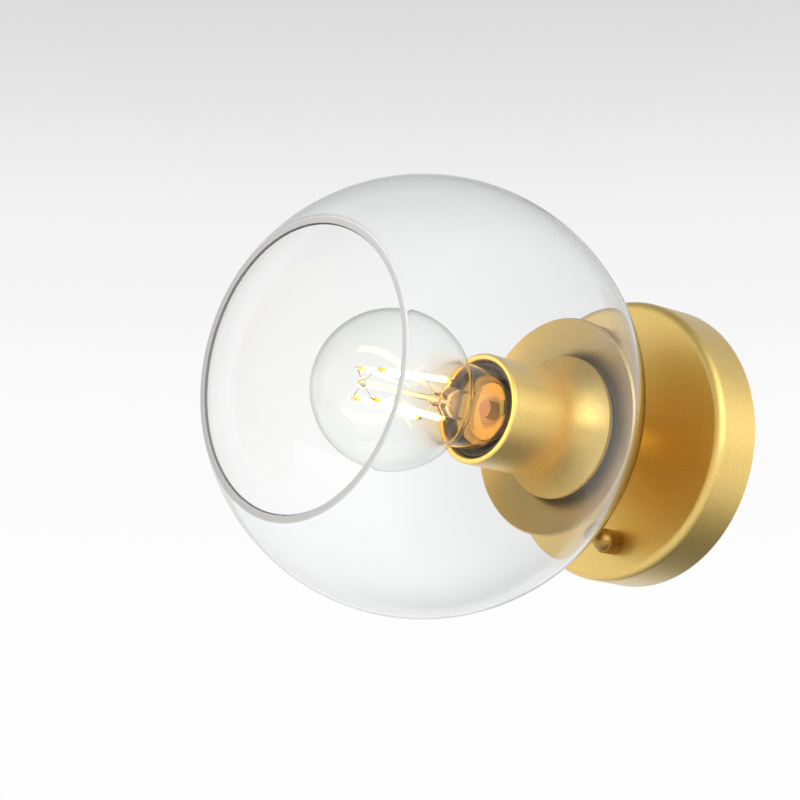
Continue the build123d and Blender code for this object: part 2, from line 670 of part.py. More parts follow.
def bulb_outline(inset):
    """The bulb's outline from its sealed end to its pole, drawn inside its outer face by an inset."""
    sphere = BULB_RADIUS - inset
    fillet = BULB_NECK_FILLET + inset
    neck = BULB_NECK_RADIUS - inset
    seal = BULB_SEAL_RADIUS - inset
    fillet_centre_radius = neck + fillet
    fillet_out = bulb_centre - sqrt((sphere + fillet) ** 2 - fillet_centre_radius**2)
    share = sphere / (sphere + fillet)
    join = (fillet_centre_radius * share, bulb_centre + (fillet_out - bulb_centre) * share)
    neck_end = (neck, fillet_out)
    bend = Vector(join[0] + neck_end[0], join[1] + neck_end[1]) / 2
    away = (bend - Vector(fillet_centre_radius, fillet_out)).normalized()
    fillet_middle = Vector(fillet_centre_radius, fillet_out) + away * fillet
    pole = (0, bulb_centre + sphere)
    return [
        Polyline(
            (seal, base_front - BULB_SEAL_LENGTH),
            (seal, base_front),
            (neck, base_front + BULB_TAPER),
            neck_end,
        ),
        ThreePointArc(neck_end, fillet_middle, join),
        ThreePointArc(join, (sphere, bulb_centre), pole),
    ]


def bulb_envelope():
    """Thin blown glass: a sphere running into a neck that is sealed into the base."""
    outside = bulb_outline(0)
    inside = bulb_outline(BULB_WALL)
    sealed_edge = Line(outside[0] @ 0, inside[0] @ 0)
    pole_edge = Line(outside[-1] @ 1, inside[-1] @ 1)
    return turned(*outside, *inside, sealed_edge, pole_edge)


def bulb_stem_outs():
    """Where the glass stem starts, where its flare ends and where its rounded top ends."""
    start = base_front + SEAT_GAP
    return (start, start + BULB_STEM_FLARE_LENGTH, start + BULB_STEM_LENGTH)


def bulb_stem():
    """Hollow glass flare with a solid pinch, a rod and a bead on its end."""
    start, flare_end, top = bulb_stem_outs()
    flare_radius = BULB_SEAL_RADIUS - BULB_WALL - SEAT_GAP
    bore_radius = BULB_STEM_RADIUS - BULB_STEM_WALL
    bead = bulb_centre + BULB_BEAD_AHEAD
    pinch_end = filament_rear + BULB_PINCH_SPARE
    shell = Polyline(
        (flare_radius - BULB_STEM_WALL, start),
        (flare_radius, start),
        (BULB_STEM_RADIUS, flare_end),
        (BULB_STEM_RADIUS, top - BULB_STEM_RADIUS + BULB_PINCH_RADIUS),
        (BULB_PINCH_RADIUS, top),
        (0, top),
        (0, top - BULB_STEM_RADIUS),
        (bore_radius, flare_end),
        close=True,
    )
    pinch = bar(BULB_PINCH_RADIUS, top, pinch_end)
    rod = bar(BULB_ROD_RADIUS, pinch_end, bead)
    return turned(shell) + pinch + rod + Pos(0, -bead, 0) * Sphere(BULB_BEAD_RADIUS)


def filament_ends(index):
    """The front and rear ends of one filament."""
    angle = radians(FILAMENT_FIRST_ANGLE + index * 360 / FILAMENTS)
    front = place(FILAMENT_FRONT_SPREAD * cos(angle), filament_front, FILAMENT_FRONT_SPREAD * sin(angle))
    rear = place(FILAMENT_REAR_SPREAD * cos(angle), filament_rear, FILAMENT_REAR_SPREAD * sin(angle))
    return front, rear


def bulb_filaments():
    """Straight coated filaments round the rod, spread a little towards the base."""
    return [strut(FILAMENT_RADIUS, *filament_ends(index)) for index in range(FILAMENTS)]


def filament_wires(end, anchor, anchor_radius):
    """Thin wires from a point on the stem out to one end of every filament."""
    wires = []
    for index in range(FILAMENTS):
        tip = filament_ends(index)[end]
        along = (tip - anchor).normalized()
        start = anchor + along * (anchor_radius + SEAT_GAP)
        wires.append(strut(FILAMENT_WIRE_RADIUS, start, tip - along * (FILAMENT_RADIUS + SEAT_GAP)))
    return wires


def bulb_front_wires():
    """Star of wires on the bead."""
    return filament_wires(0, place(0, bulb_centre + BULB_BEAD_AHEAD, 0), BULB_BEAD_RADIUS)


def bulb_rear_wires():
    """Wires that leave the pinch and feed the filaments' rear ends."""
    return filament_wires(1, place(0, filament_rear, 0), BULB_PINCH_RADIUS)


def bulb_screw_base():
    """Rolled screw shell of the bulb with a plain collar round the sealed neck."""
    outside = thread_arcs(base_screw_back, base_mid_radius, SCREW_DEPTH / 2, SCREW_RINGS)
    inside = thread_arcs(base_screw_back, base_mid_radius - BASE_SHEET, SCREW_DEPTH / 2, SCREW_RINGS)
    front_edge = Polyline(
        (base_mid_radius, base_screw_front),
        (base_collar_radius, base_collar_back),
        (base_collar_radius, base_front),
        (base_collar_radius - BASE_SHEET, base_front),
        (base_collar_radius - BASE_SHEET, base_collar_back),
        (base_mid_radius - BASE_SHEET, base_screw_front),
    )
    back_edge = Line(outside[0] @ 0, inside[0] @ 0)
    return turned(*outside, *inside, front_edge, back_edge)


def bulb_insulator():
    """Black moulded cone that plugs the back of the screw shell."""
    plug_radius = base_root_inner_radius - SEAT_GAP
    outline = Polyline(
        (0, base_insulator_back),
        (BASE_CONTACT_RADIUS, base_insulator_back),
        (plug_radius, base_screw_back),
        (plug_radius, base_screw_back + BASE_INSULATOR_PLUG),
        (0, base_screw_back + BASE_INSULATOR_PLUG),
        close=True,
    )
    return turned(outline)


def bulb_contact():
    """Domed contact button at the tip of the base."""
    return dome(BASE_CONTACT_RADIUS, base_insulator_back, -BASE_CONTACT_HEIGHT)


def driver_board_front():
    """How far out the components on the driver board stand."""
    return bulb_tip + DRIVER_BOARD_RISE + DRIVER_BOARD_THICKNESS


def bulb_driver_board():
    """Round circuit board across the sealed end of the neck."""
    radius = BULB_SEAL_RADIUS - BULB_WALL - DRIVER_CLEARANCE
    return bar(radius, bulb_tip + DRIVER_BOARD_RISE, driver_board_front())


def bulb_driver_capacitor():
    """Capacitor on the driver board, the part that shows through the neck."""
    front = driver_board_front()
    return bar(CAPACITOR_RADIUS, front, front + CAPACITOR_LENGTH, CAPACITOR_OFFSET)


def bulb_driver_chip():
    """Small chip beside the capacitor."""
    front = driver_board_front()
    outline = Pos(CHIP_OFFSET, 0) * Rectangle(CHIP_LENGTH, CHIP_WIDTH)
    return plate(outline, front, front + CHIP_HEIGHT)


PIECES = {
    "canopy": canopy(),
    "crossbar": crossbar(),
    "canopy_studs": canopy_studs(),
    "upper_cap_nut": cap_nut(1),
    "lower_cap_nut": cap_nut(-1),
    "ground_screw": ground_screw(),
    "terminal_block": terminal_block(),
    "terminal_block_clamps": terminal_block_clamps(),
    "terminal_block_screw": terminal_block_screw(),
    "nipple": nipple(),
    "canopy_lock_washer": lock_washer(canopy_inside - LOCK_WASHER_THICKNESS),
    "canopy_lock_nut": lock_nut(canopy_inside - LOCK_WASHER_THICKNESS - LOCK_NUT_HEIGHT),
    "stem": stem(),
    "glass_holder": glass_holder(),
    "holder_gasket": holder_gasket(),
    "glass_globe": glass_globe(),
    "cup_gasket": cup_gasket(),
    "socket_cup": socket_cup(),
    "cup_lock_washer": lock_washer(cup_floor),
    "cup_lock_nut": lock_nut(cup_floor + LOCK_WASHER_THICKNESS),
    "socket_cap": socket_cap(),
    "socket_set_screw": socket_set_screw(),
    "socket_body": socket_body(),
    "socket_screw_shell": socket_screw_shell(),
    "socket_contact": socket_contact(),
    "socket_terminal_screws": socket_terminal_screws(),
    "line_lead": lead(1),
    "neutral_lead": lead(-1),
    "bulb_envelope": bulb_envelope(),
    "bulb_stem": bulb_stem(),
    "bulb_filaments": bulb_filaments(),
    "bulb_front_wires": bulb_front_wires(),
    "bulb_rear_wires": bulb_rear_wires(),
    "bulb_screw_base": bulb_screw_base(),
    "bulb_insulator": bulb_insulator(),
    "bulb_contact": bulb_contact(),
    "bulb_driver_board": bulb_driver_board(),
    "bulb_driver_capacitor": bulb_driver_capacitor(),
    "bulb_driver_chip": bulb_driver_chip(),
}

os.makedirs("parts", exist_ok=True)
for name, piece in PIECES.items():
    shape = Compound(piece) if isinstance(piece, list) else piece
    export_step(shape, f"parts/{name}.step")
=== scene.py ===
import json
from math import acos, asin, cos, pi, radians, sin, sqrt, tau

import bmesh
import bpy
from mathutils import Matrix, Vector

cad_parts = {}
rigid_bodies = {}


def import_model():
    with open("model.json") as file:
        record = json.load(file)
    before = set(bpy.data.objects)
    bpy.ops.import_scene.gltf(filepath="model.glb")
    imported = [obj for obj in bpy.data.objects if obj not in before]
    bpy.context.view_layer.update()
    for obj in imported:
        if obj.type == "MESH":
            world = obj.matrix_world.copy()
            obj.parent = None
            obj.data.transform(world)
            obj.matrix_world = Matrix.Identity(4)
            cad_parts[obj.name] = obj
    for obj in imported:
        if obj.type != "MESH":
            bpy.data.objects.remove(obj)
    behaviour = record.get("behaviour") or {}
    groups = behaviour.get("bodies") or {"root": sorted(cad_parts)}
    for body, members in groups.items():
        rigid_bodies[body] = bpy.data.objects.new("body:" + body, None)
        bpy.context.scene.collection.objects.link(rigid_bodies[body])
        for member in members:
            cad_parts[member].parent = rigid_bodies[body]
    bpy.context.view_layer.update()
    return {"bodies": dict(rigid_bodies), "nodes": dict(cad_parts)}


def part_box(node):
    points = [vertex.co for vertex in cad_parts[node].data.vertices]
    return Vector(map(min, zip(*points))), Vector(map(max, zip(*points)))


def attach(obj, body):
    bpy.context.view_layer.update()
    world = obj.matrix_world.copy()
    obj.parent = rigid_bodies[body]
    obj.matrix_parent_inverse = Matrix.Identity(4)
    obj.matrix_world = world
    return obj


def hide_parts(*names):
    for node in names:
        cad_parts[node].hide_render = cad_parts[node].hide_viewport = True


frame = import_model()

nodes = frame["nodes"]

# Canopy, stem and glass holder: spun and turned from thin steel, and sprayed with satin gold paint.
# Metal flakes in the paint show as a fine grain, a little uneven from place to place.
# The canopy hides the wall box, and the stem carries the holder's dish away from it.

GOLD_DEEP = (0.72, 0.48, 0.107)
GOLD_BRIGHT = (0.95, 0.71, 0.24)
GOLD_FLAKE = 0.00035
GOLD_FLAKE_SHARE = 0.15
GOLD_MOTTLE = 0.0010
GOLD_DRIFT = 0.03
GOLD_DRIFT_SHARE = 0.25
GOLD_TONE_SHIFT = 0.2
GOLD_GRAIN_DEPTH = 0.00003


class Surface:
    """A value that changes over a finish, held as a socket of its nodes.

    Sums and products of such values add Math nodes.
    """

    def __init__(self, tree, socket=None):
        self.tree = tree
        self.socket = socket

    def node(self, kind, settings=None, sockets=None, output=0):
        """Adds a node: its settings first, then the values or links of its sockets."""
        made = self.tree.nodes.new(kind)
        for name, value in (settings or {}).items():
            if name == "stops":
                self.set_stops(made.color_ramp, value)
            else:
                setattr(made, name, value)
        for name, value in (sockets or {}).items():
            if isinstance(value, Surface):
                self.tree.links.new(value.socket, made.inputs[name])
            else:
                made.inputs[name].default_value = value
        return Surface(self.tree, made.outputs[output]) if len(made.outputs) else made

    @staticmethod
    def set_stops(ramp, stops):
        """Gives a colour ramp its stops, each a position and a colour."""
        for index, (position, colour) in enumerate(stops):
            stop = ramp.elements[index] if index < len(ramp.elements) else ramp.elements.new(position)
            stop.position = position
            stop.color = (*colour, 1)

    def maths(self, operation, first, second):
        return self.node("ShaderNodeMath", {"operation": operation}, {0: first, 1: second})

    def __add__(self, other):
        return self.maths("ADD", self, other)

    def __radd__(self, other):
        return self.maths("ADD", other, self)

    def __sub__(self, other):
        return self.maths("SUBTRACT", self, other)

    def __rsub__(self, other):
        return self.maths("SUBTRACT", other, self)

    def __mul__(self, other):
        return self.maths("MULTIPLY", self, other)

    def __rmul__(self, other):
        return self.maths("MULTIPLY", other, self)

    def __pow__(self, other):
        return self.maths("POWER", self, other)

    def __or__(self, other):
        return self.maths("MAXIMUM", self, other)

    def limited(self):
        """The value kept between 0 and 1."""
        return self.node("ShaderNodeClamp", sockets={"Value": self})

    def between(self, low_colour, high_colour):
        """A colour that runs from one to the other as the value goes from 0 to 1."""
        return self.node(
            "ShaderNodeMix",
            {"data_type": "RGBA"},
            {"Factor": self, 6: (*low_colour, 1), 7: (*high_colour, 1)},
            output=2,
        )

    def places(self, stretch=(1, 1, 1)):
        """Where a point of the piece lies in the frame, in metres, stretched for a directed grain."""
        where = self.node("ShaderNodeTexCoord", output=3)
        return self.node("ShaderNodeMapping", sockets={"Vector": where, "Scale": stretch})

    def clouds(self, size, detail=2.0, stretch=(1, 1, 1)):
        """Soft random patches of a size in metres, from 0 to 1."""
        sockets = {"Vector": self.places(stretch), "Scale": 1 / size, "Detail": detail}
        return self.node("ShaderNodeTexNoise", sockets=sockets)

    def flakes(self, size):
        """Random flakes of a size in metres, each with one value from 0 to 1."""
        sockets = {"Vector": self.places(), "Scale": 1 / size}
        cells = self.node("ShaderNodeTexVoronoi", sockets=sockets, output=1)
        return self.node("ShaderNodeSeparateColor", sockets={"Color": cells})

    def relief(self, height, depth, strength=1.0):
        """A bump whose full height is a depth in metres."""
        sockets = {"Height": height, "Distance": depth, "Strength": strength}
        return self.node("ShaderNodeBump", sockets=sockets)

    def principled(self, **sockets):
        """The main shader, with its sockets named in lower case."""
        named = {}
        for name, value in sockets.items():
            named[name.replace("_", " ").title().replace("Ior", "IOR")] = value
        return self.node("ShaderNodeBsdfPrincipled", sockets=named)

    def cover(self, shader):
        """Shows a shader on the finish's surface."""
        self.node("ShaderNodeOutputMaterial", sockets={"Surface": shader})


def new_finish(name):
    """An empty material, and the place to add its nodes."""
    finish = bpy.data.materials.new(name)
    finish.use_nodes = True
    finish.node_tree.nodes.clear()
    return finish, Surface(finish.node_tree)


def dress(finish, *names):
    """Gives CAD nodes a finish."""
    for name in names:
        mesh = nodes[name].data
        mesh.materials.clear()
        mesh.materials.append(finish)


def gold_paint(name, deep_colour, bright_colour):
    """Satin gold: flakes and mottling change its tone and its gloss."""
    finish, surface = new_finish(name)
    flakes = surface.flakes(GOLD_FLAKE)
    mottle = surface.clouds(GOLD_MOTTLE, detail=4.0)
    drift = surface.clouds(GOLD_DRIFT)
    tone = (flakes * GOLD_FLAKE_SHARE + mottle + drift * GOLD_DRIFT_SHARE - GOLD_TONE_SHIFT).limited()
    grain = surface.clouds(GOLD_FLAKE, detail=1.0)
    surface.cover(
        surface.principled(
            base_color=tone.between(deep_colour, bright_colour),
            metallic=0.95,
            roughness=0.36 + flakes * 0.08,
            coat_weight=0.6,
            coat_roughness=0.24,
            normal=surface.relief(grain, GOLD_GRAIN_DEPTH, 0.12),
        )
    )
    return finish


satin_gold = gold_paint("satin_gold_paint", GOLD_DEEP, GOLD_BRIGHT)
dress(satin_gold, "canopy", "stem", "glass_holder")


# Crossbar, studs, nipple, washers and lock nuts: steel with a bright zinc plate.
# The strap is stamped and screwed to the wall box, and the nipple holds the stack together.
# The plate is uneven, with faint bluish and straw patches and fine lines from drawing.

ZINC_BLUE = (0.50, 0.54, 0.60)
ZINC_STRAW = (0.64, 0.61, 0.53)
ZINC_PATCH = 0.006
ZINC_LINE = 0.0006
ZINC_LINE_DEPTH = 0.00002
ZINC_LINE_STRETCH = (1, 1, 0.06)


def zinc_plate():
    """Bright zinc with drawn lines."""
    finish, surface = new_finish("bright_zinc_plate")
    lines = surface.clouds(ZINC_LINE, stretch=ZINC_LINE_STRETCH)
    surface.cover(
        surface.principled(
            base_color=surface.clouds(ZINC_PATCH, detail=3.0).between(ZINC_BLUE, ZINC_STRAW),
            metallic=1.0,
            roughness=0.26 + lines * 0.16,
            normal=surface.relief(lines, ZINC_LINE_DEPTH, 0.4),
        )
    )
    return finish


zinc = zinc_plate()
dress(zinc, "crossbar", "canopy_studs", "nipple", "canopy_lock_washer", "canopy_lock_nut")
dress(zinc, "cup_lock_washer", "cup_lock_nut")


# Cap nuts: turned brass with a fine straight knurl, a chamfer and a domed end.
# Their gold is deeper than the canopy's: a painted shade, for the dark they sit in beside the canopy.
# Each screws onto a stud of the crossbar and holds the canopy against the wall.

NUT_RIDGES = 40
NUT_RIDGE_DEPTH = 0.0006
NUT_CHAMFER = 0.0004
NUT_KNURL_LENGTH = 0.0068
NUT_DOME_RADIUS = 0.0045
NUT_BORE_RADIUS = 0.00205
NUT_BORE_LENGTH = 0.0074
NUT_AROUND = 320
NUT_DOME_STEPS = 14
# The nuts' deeper gold is a painted shade.
NUT_SHADED_DEEP = (0.33, 0.18, 0.025)
NUT_SHADED_BRIGHT = (0.48, 0.29, 0.06)
CRISP_ANGLE = 35
ON_AXIS = 0.000001  # nearer the axis than this, a ring is one point


def arc_points(centre, radius, start, end, steps):
    """Points (radius, out) of an arc about a point of the axis, by angle from the wall's side."""
    angles = [start + (end - start) * step / steps for step in range(steps + 1)]
    return [(radius * sin(angle), centre - radius * cos(angle)) for angle in angles]


def piece_of(name, corners, faces):
    """A smooth mesh with its faces turned outwards, put into the scene."""
    mesh = bpy.data.meshes.new(name)
    mesh.from_pydata(corners, [], faces)
    shape = bmesh.new()
    shape.from_mesh(mesh)
    bmesh.ops.recalc_face_normals(shape, faces=shape.faces)
    shape.to_mesh(mesh)
    shape.free()
    mesh.shade_smooth()
    piece = bpy.data.objects.new(name, mesh)
    bpy.context.scene.collection.objects.link(piece)
    return piece


def turned(name, outline, around, height=0, ridges=0):
    """A piece turned about the lamp's direction at a height.

    The outline's points are (radius, out), with the depth of the ridges there as a third value where it has
    them. It starts and ends on the axis, or closes on itself.
    """
    corners = []
    rows = []
    for radius, out, *depth in outline:
        on_axis = radius < ON_AXIS
        row = []
        for step in range(1 if on_axis else around):
            angle = tau * step / around
            reach = radius - sum(depth) * (1 - cos(ridges * angle)) / 2
            row.append(len(corners))
            corners.append((reach * cos(angle), -out, height + reach * sin(angle)))
        rows.append(row * around if on_axis else row)
    if outline[0][0] > ON_AXIS:
        rows.append(rows[0])
    faces = []
    for low, high in zip(rows, rows[1:]):
        for step in range(around):
            after = (step + 1) % around
            loop = dict.fromkeys((low[step], low[after], high[after], high[step]))
            faces.append(list(loop))
    return piece_of(name, corners, faces)


def crisp(piece, angle=CRISP_ANGLE):
    """Keeps edges sharper than an angle crisp on a smooth piece."""
    piece.data.set_sharp_from_angle(angle=radians(angle))


def settle(piece, finish, body, slot, *replaced):
    """Gives a piece its finish and its body, and hides the CAD nodes that it stands for. Its slot is not
    used.
    """
    piece.data.materials.append(finish)
    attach(piece, body)
    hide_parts(*replaced)


def cap_nut(node, body):
    """Knurled nut with a blind hole and a domed end."""
    low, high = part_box(node)
    radius = (high.x - low.x) / 2
    seat = -high.y
    tip = -low.y
    shoulder = seat + NUT_KNURL_LENGTH
    dome_height = tip - shoulder
    dome_sphere = (NUT_DOME_RADIUS**2 + dome_height**2) / (2 * dome_height)
    dome_start = acos((dome_height - dome_sphere) / dome_sphere)
    bore_end = seat + NUT_BORE_LENGTH
    outline = [
        (0, bore_end),
        (NUT_BORE_RADIUS, bore_end),
        (NUT_BORE_RADIUS, seat),
        (radius - NUT_RIDGE_DEPTH - NUT_CHAMFER, seat),
        (radius, seat + NUT_CHAMFER, NUT_RIDGE_DEPTH),
        (radius, shoulder - NUT_CHAMFER, NUT_RIDGE_DEPTH),
        (radius - NUT_RIDGE_DEPTH - NUT_CHAMFER, shoulder),
    ]
    outline += arc_points(tip - dome_sphere, dome_sphere, dome_start, pi, NUT_DOME_STEPS)
    nut = turned(node + "_knurled", outline, NUT_AROUND, height=(low.z + high.z) / 2, ridges=NUT_RIDGES)
    crisp(nut)
    settle(nut, shaded_nut_gold, body, "gold_finish", node)


shaded_nut_gold = gold_paint("gold_paint_darkened_for_shade_on_nuts", NUT_SHADED_DEEP, NUT_SHADED_BRIGHT)
cap_nut("upper_cap_nut", "upper_nut")
cap_nut("lower_cap_nut", "lower_nut")


# Ground screw: a slotted screw on the crossbar, dyed green so that the earth wire finds its place.
# Wear at random spots lets a little of its metal through.

SCREW_GREEN = (0.02, 0.22, 0.06)
SCREW_WORN = (0.35, 0.48, 0.30)
SCREW_WEAR = 0.0011


def green_dye():
    """Green dye, worn in spots."""
    finish, surface = new_finish("green_dyed_screw")
    worn = surface.clouds(SCREW_WEAR, detail=4.0) ** 3.0
    surface.cover(
        surface.principled(
            base_color=worn.between(SCREW_GREEN, SCREW_WORN),
            metallic=0.7,
            roughness=0.3 + worn * 0.3,
        )
    )
    return finish


dress(green_dye(), "ground_screw")


# Terminal block: a two-pole block moulded in natural nylon, held on the crossbar by one screw.
# Four zinc-plated clamp screws press on the wires inside it.

NYLON_SHADE = (0.74, 0.73, 0.67)
NYLON_LIGHT = (0.84, 0.83, 0.79)
NYLON_SKIN = 0.0004
MOULD_DEPTH = 0.00003
MOULD_TONE_SCALE = 12


def moulded(name, low_colour, high_colour, skin_size, roughness, gleam=0.5):
    """A moulded plastic with a fine skin."""
    finish, surface = new_finish(name)
    skin = surface.clouds(skin_size, detail=3.0)
    surface.cover(
        surface.principled(
            base_color=surface.clouds(MOULD_TONE_SCALE * skin_size).between(low_colour, high_colour),
            roughness=roughness + skin * 0.15,
            specular_ior_level=gleam,
            normal=surface.relief(skin, MOULD_DEPTH, 0.4),
        )
    )
    return finish


dress(moulded("natural_nylon", NYLON_SHADE, NYLON_LIGHT, NYLON_SKIN, 0.45), "terminal_block")
dress(zinc, "terminal_block_clamps", "terminal_block_screw")


# Gaskets: two rings cut from smoke-brown silicone sheet, one each side of the glass, darker still as a
# painted shadow along the flange's edge.
# They keep the metal off the globe and take up its unevenness.

# The silicone's dark colour is partly its own and partly a painted shadow.
SILICONE_WITH_SHADOW_DEEP = (0.19, 0.165, 0.12)
SILICONE_WITH_SHADOW_PALE = (0.28, 0.245, 0.185)
SILICONE_SKIN = 0.0009

silicone_with_shadow = moulded("smoky_silicone_with_painted_shadow", SILICONE_WITH_SHADOW_DEEP, SILICONE_WITH_SHADOW_PALE, SILICONE_SKIN, 0.5, gleam=0.2)
dress(silicone_with_shadow, "holder_gasket", "cup_gasket")


# Globe: blown clear glass with slow ripples, cut flat at its mouth, where it is ground matt and chamfered.
# The socket cup's flange holds it against the dish, through the hole at its back.

GLOBE_WALL = 0.0028  # at the hole and at the mouth
GLOBE_THIN_WALL = 0.0015  # half way between them
GLOBE_THINNING = 4  # the higher, the nearer its ends the wall grows thick
GLOBE_HOLE_RADIUS = 0.025
GLOBE_AROUND = 256
GLOBE_ALONG = 110
RIM_INNER_CHAMFER = 0.0010
RIM_INNER_SLANT = 0.0005
RIM_OUTER_CHAMFER = 0.00035
RIM_FLATNESS = 0.0001  # faces nearer the mouth than this are its flat rim
GLOBE_TINT = (0.990, 0.996, 0.993)
# The globe's edge tint is a darker grey-green, a painted shade for the darker surroundings seen through the
# glass at a slant.
GLOBE_EDGE_SHADE = (0.76, 0.785, 0.77)
# Its back tint is a darker grey, a painted shade on the dish and canopy seen through the globe's back.
GLOBE_BACK_SHADE = (0.87, 0.865, 0.875)
GLOBE_BACK_SHADE_END = 0.055
GLOBE_CLEAR_START = 0.090
GLOBE_RIPPLE = 0.035
GLOBE_RIPPLE_DEPTH = 0.00008
GLASS_SMEAR = 0.02
GLASS_BEND = 1.3
GLASS_EDGE_TIGHTNESS = 4.0
GLASS_MIRROR = (0.6, 0.6, 0.6, 1)
LAMP_PASS = (0.96, 0.965, 0.96, 1)
RIM_SHADE = (0.74, 0.72, 0.69)
RIM_LIGHT = (0.80, 0.78, 0.75)
# The inner bevel's dark grey is a painted shade at the rim's inner edge.
INNER_BEVEL_PAINTED_SHADE_DEEP = (0.17, 0.17, 0.165)
INNER_BEVEL_PAINTED_SHADE_PALE = (0.24, 0.24, 0.235)
# The outer bevel's pale grey is a painted highlight along the rim's outer edge.
OUTER_BEVEL_HIGHLIGHT_DEEP = (0.80, 0.80, 0.79)
OUTER_BEVEL_HIGHLIGHT_PALE = (0.88, 0.88, 0.87)
RIM_GRIT = 0.0012
RIM_GRIT_DEPTH = 0.00002


def clear_glass(
    name,
    tints_and_shading,
    ripple_size,
    ripple_depth,
    bend,
    mirror=GLASS_MIRROR,
    edge_tightness=GLASS_EDGE_TIGHTNESS,
    haze=None,
):
    """Clear glass that bends what is seen through it, and lets lamps through.

    Its tints are those of its face and its edge, and a high tightness keeps the second close to the edge.
    A darker edge tint is a painted shade for the darker surroundings seen through the glass at a slant.
    A third tint, with the two distances out between which it fades, is painted shading at the glass's back.
    The mirror colours what it reflects. Haze is a share of matt glass, and the two colours of that.
    """
    finish, surface = new_finish(name)
    smear = surface.clouds(GLASS_SMEAR, detail=5.0)
    facing = surface.node("ShaderNodeLayerWeight", sockets={"Blend": 0.5}, output=1)
    # Darker towards the edges as a painted shade, and at the back as painted shading.
    tint_and_shading = (facing**edge_tightness).between(*tints_and_shading[:2])
    if len(tints_and_shading) > 2:
        back_shading, back_shading_end, clear_start = tints_and_shading[2:]
        back = surface.node("ShaderNodeSeparateXYZ", sockets={"Vector": surface.places()}, output=1)
        back_shaded = ((back + clear_start) * (1 / (clear_start - back_shading_end))).limited()
        sockets = {"Factor": back_shaded, 6: tint_and_shading, 7: (*back_shading, 1)}
        tint_and_shading = surface.node("ShaderNodeMix", {"data_type": "RGBA"}, sockets, output=2)
    glass = surface.principled(
        base_color=tint_and_shading,
        roughness=smear * 0.01,
        ior=bend,
        specular_tint=mirror,
        transmission_weight=1.0,
        normal=surface.relief(surface.clouds(ripple_size, detail=1.0), ripple_depth),
    )
    if haze:
        haze_share, haze_deep, haze_pale = haze
        fused = surface.principled(base_color=smear.between(haze_deep, haze_pale), roughness=0.3)
        glass = surface.node("ShaderNodeMixShader", sockets={0: haze_share, 1: glass, 2: fused})
    in_shadow = surface.node("ShaderNodeLightPath", output="Is Shadow Ray")
    spread = surface.node("ShaderNodeLightPath", output="Is Diffuse Ray")
    clear = surface.node("ShaderNodeBsdfTransparent", sockets={"Color": LAMP_PASS})
    surface.cover(surface.node("ShaderNodeMixShader", sockets={0: in_shadow | spread, 1: glass, 2: clear}))
    return finish


def ground_glass(name, low_colour, high_colour):
    """Ground glass, greyish and matt."""
    finish, surface = new_finish(name)
    grit = surface.clouds(RIM_GRIT, detail=3.0)
    surface.cover(
        surface.principled(
            base_color=grit.between(low_colour, high_colour),
            roughness=0.4 + grit * 0.2,
            specular_ior_level=0.0,
            normal=surface.relief(grit, RIM_GRIT_DEPTH, 0.1),
        )
    )
    return finish


def blown_inside(start, end):
    """Points (radius, out) of the globe's inner face from mouth to hole: the wall is thinnest half way."""
    points = []
    for step in range(GLOBE_ALONG + 1):
        share = step / GLOBE_ALONG
        wall = GLOBE_THIN_WALL + (GLOBE_WALL - GLOBE_THIN_WALL) * (2 * share - 1) ** GLOBE_THINNING
        angle = start + (end - start) * share
        radius = globe_radius - wall
        points.append((radius * sin(angle), globe_centre - radius * cos(angle)))
    return points


globe_low, globe_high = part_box("glass_globe")
globe_radius = (globe_high.x - globe_low.x) / 2
globe_inner_radius = globe_radius - GLOBE_WALL
globe_mouth = -globe_low.y
globe_centre = -globe_high.y + sqrt(globe_radius**2 - GLOBE_HOLE_RADIUS**2)
mouth_reach = globe_mouth - globe_centre
outer_chamfer_angle = acos((RIM_OUTER_CHAMFER - mouth_reach) / globe_radius)
inner_chamfer_angle = acos((RIM_INNER_CHAMFER - mouth_reach) / globe_inner_radius)
outer_hole_angle = asin(GLOBE_HOLE_RADIUS / globe_radius)
inner_hole_angle = asin(GLOBE_HOLE_RADIUS / globe_inner_radius)
ground_outer_radius = sqrt(globe_radius**2 - mouth_reach**2) - RIM_OUTER_CHAMFER
ground_inner_radius = globe_inner_radius * sin(inner_chamfer_angle) + RIM_INNER_SLANT
globe_outline = arc_points(globe_centre, globe_radius, outer_hole_angle, outer_chamfer_angle, GLOBE_ALONG)
globe_outline += [(ground_outer_radius, globe_mouth), (ground_inner_radius, globe_mouth)]
globe_outline += blown_inside(inner_chamfer_angle, inner_hole_angle)
globe = turned("clear_globe", globe_outline, GLOBE_AROUND)
crisp(globe)
globe_tints_and_shading = (GLOBE_TINT, GLOBE_EDGE_SHADE, GLOBE_BACK_SHADE, GLOBE_BACK_SHADE_END, GLOBE_CLEAR_START)
globe_glass = clear_glass("blown_clear_glass", globe_tints_and_shading, GLOBE_RIPPLE, GLOBE_RIPPLE_DEPTH, GLASS_BEND)
settle(globe, globe_glass, "fixture", "globe_glass", "glass_globe")
globe.data.materials.append(ground_glass("ground_glass_rim", RIM_SHADE, RIM_LIGHT))
# The inner chamfer carries a painted shade.
globe.data.materials.append(ground_glass("inner_bevel_painted_shade", INNER_BEVEL_PAINTED_SHADE_DEEP, INNER_BEVEL_PAINTED_SHADE_PALE))
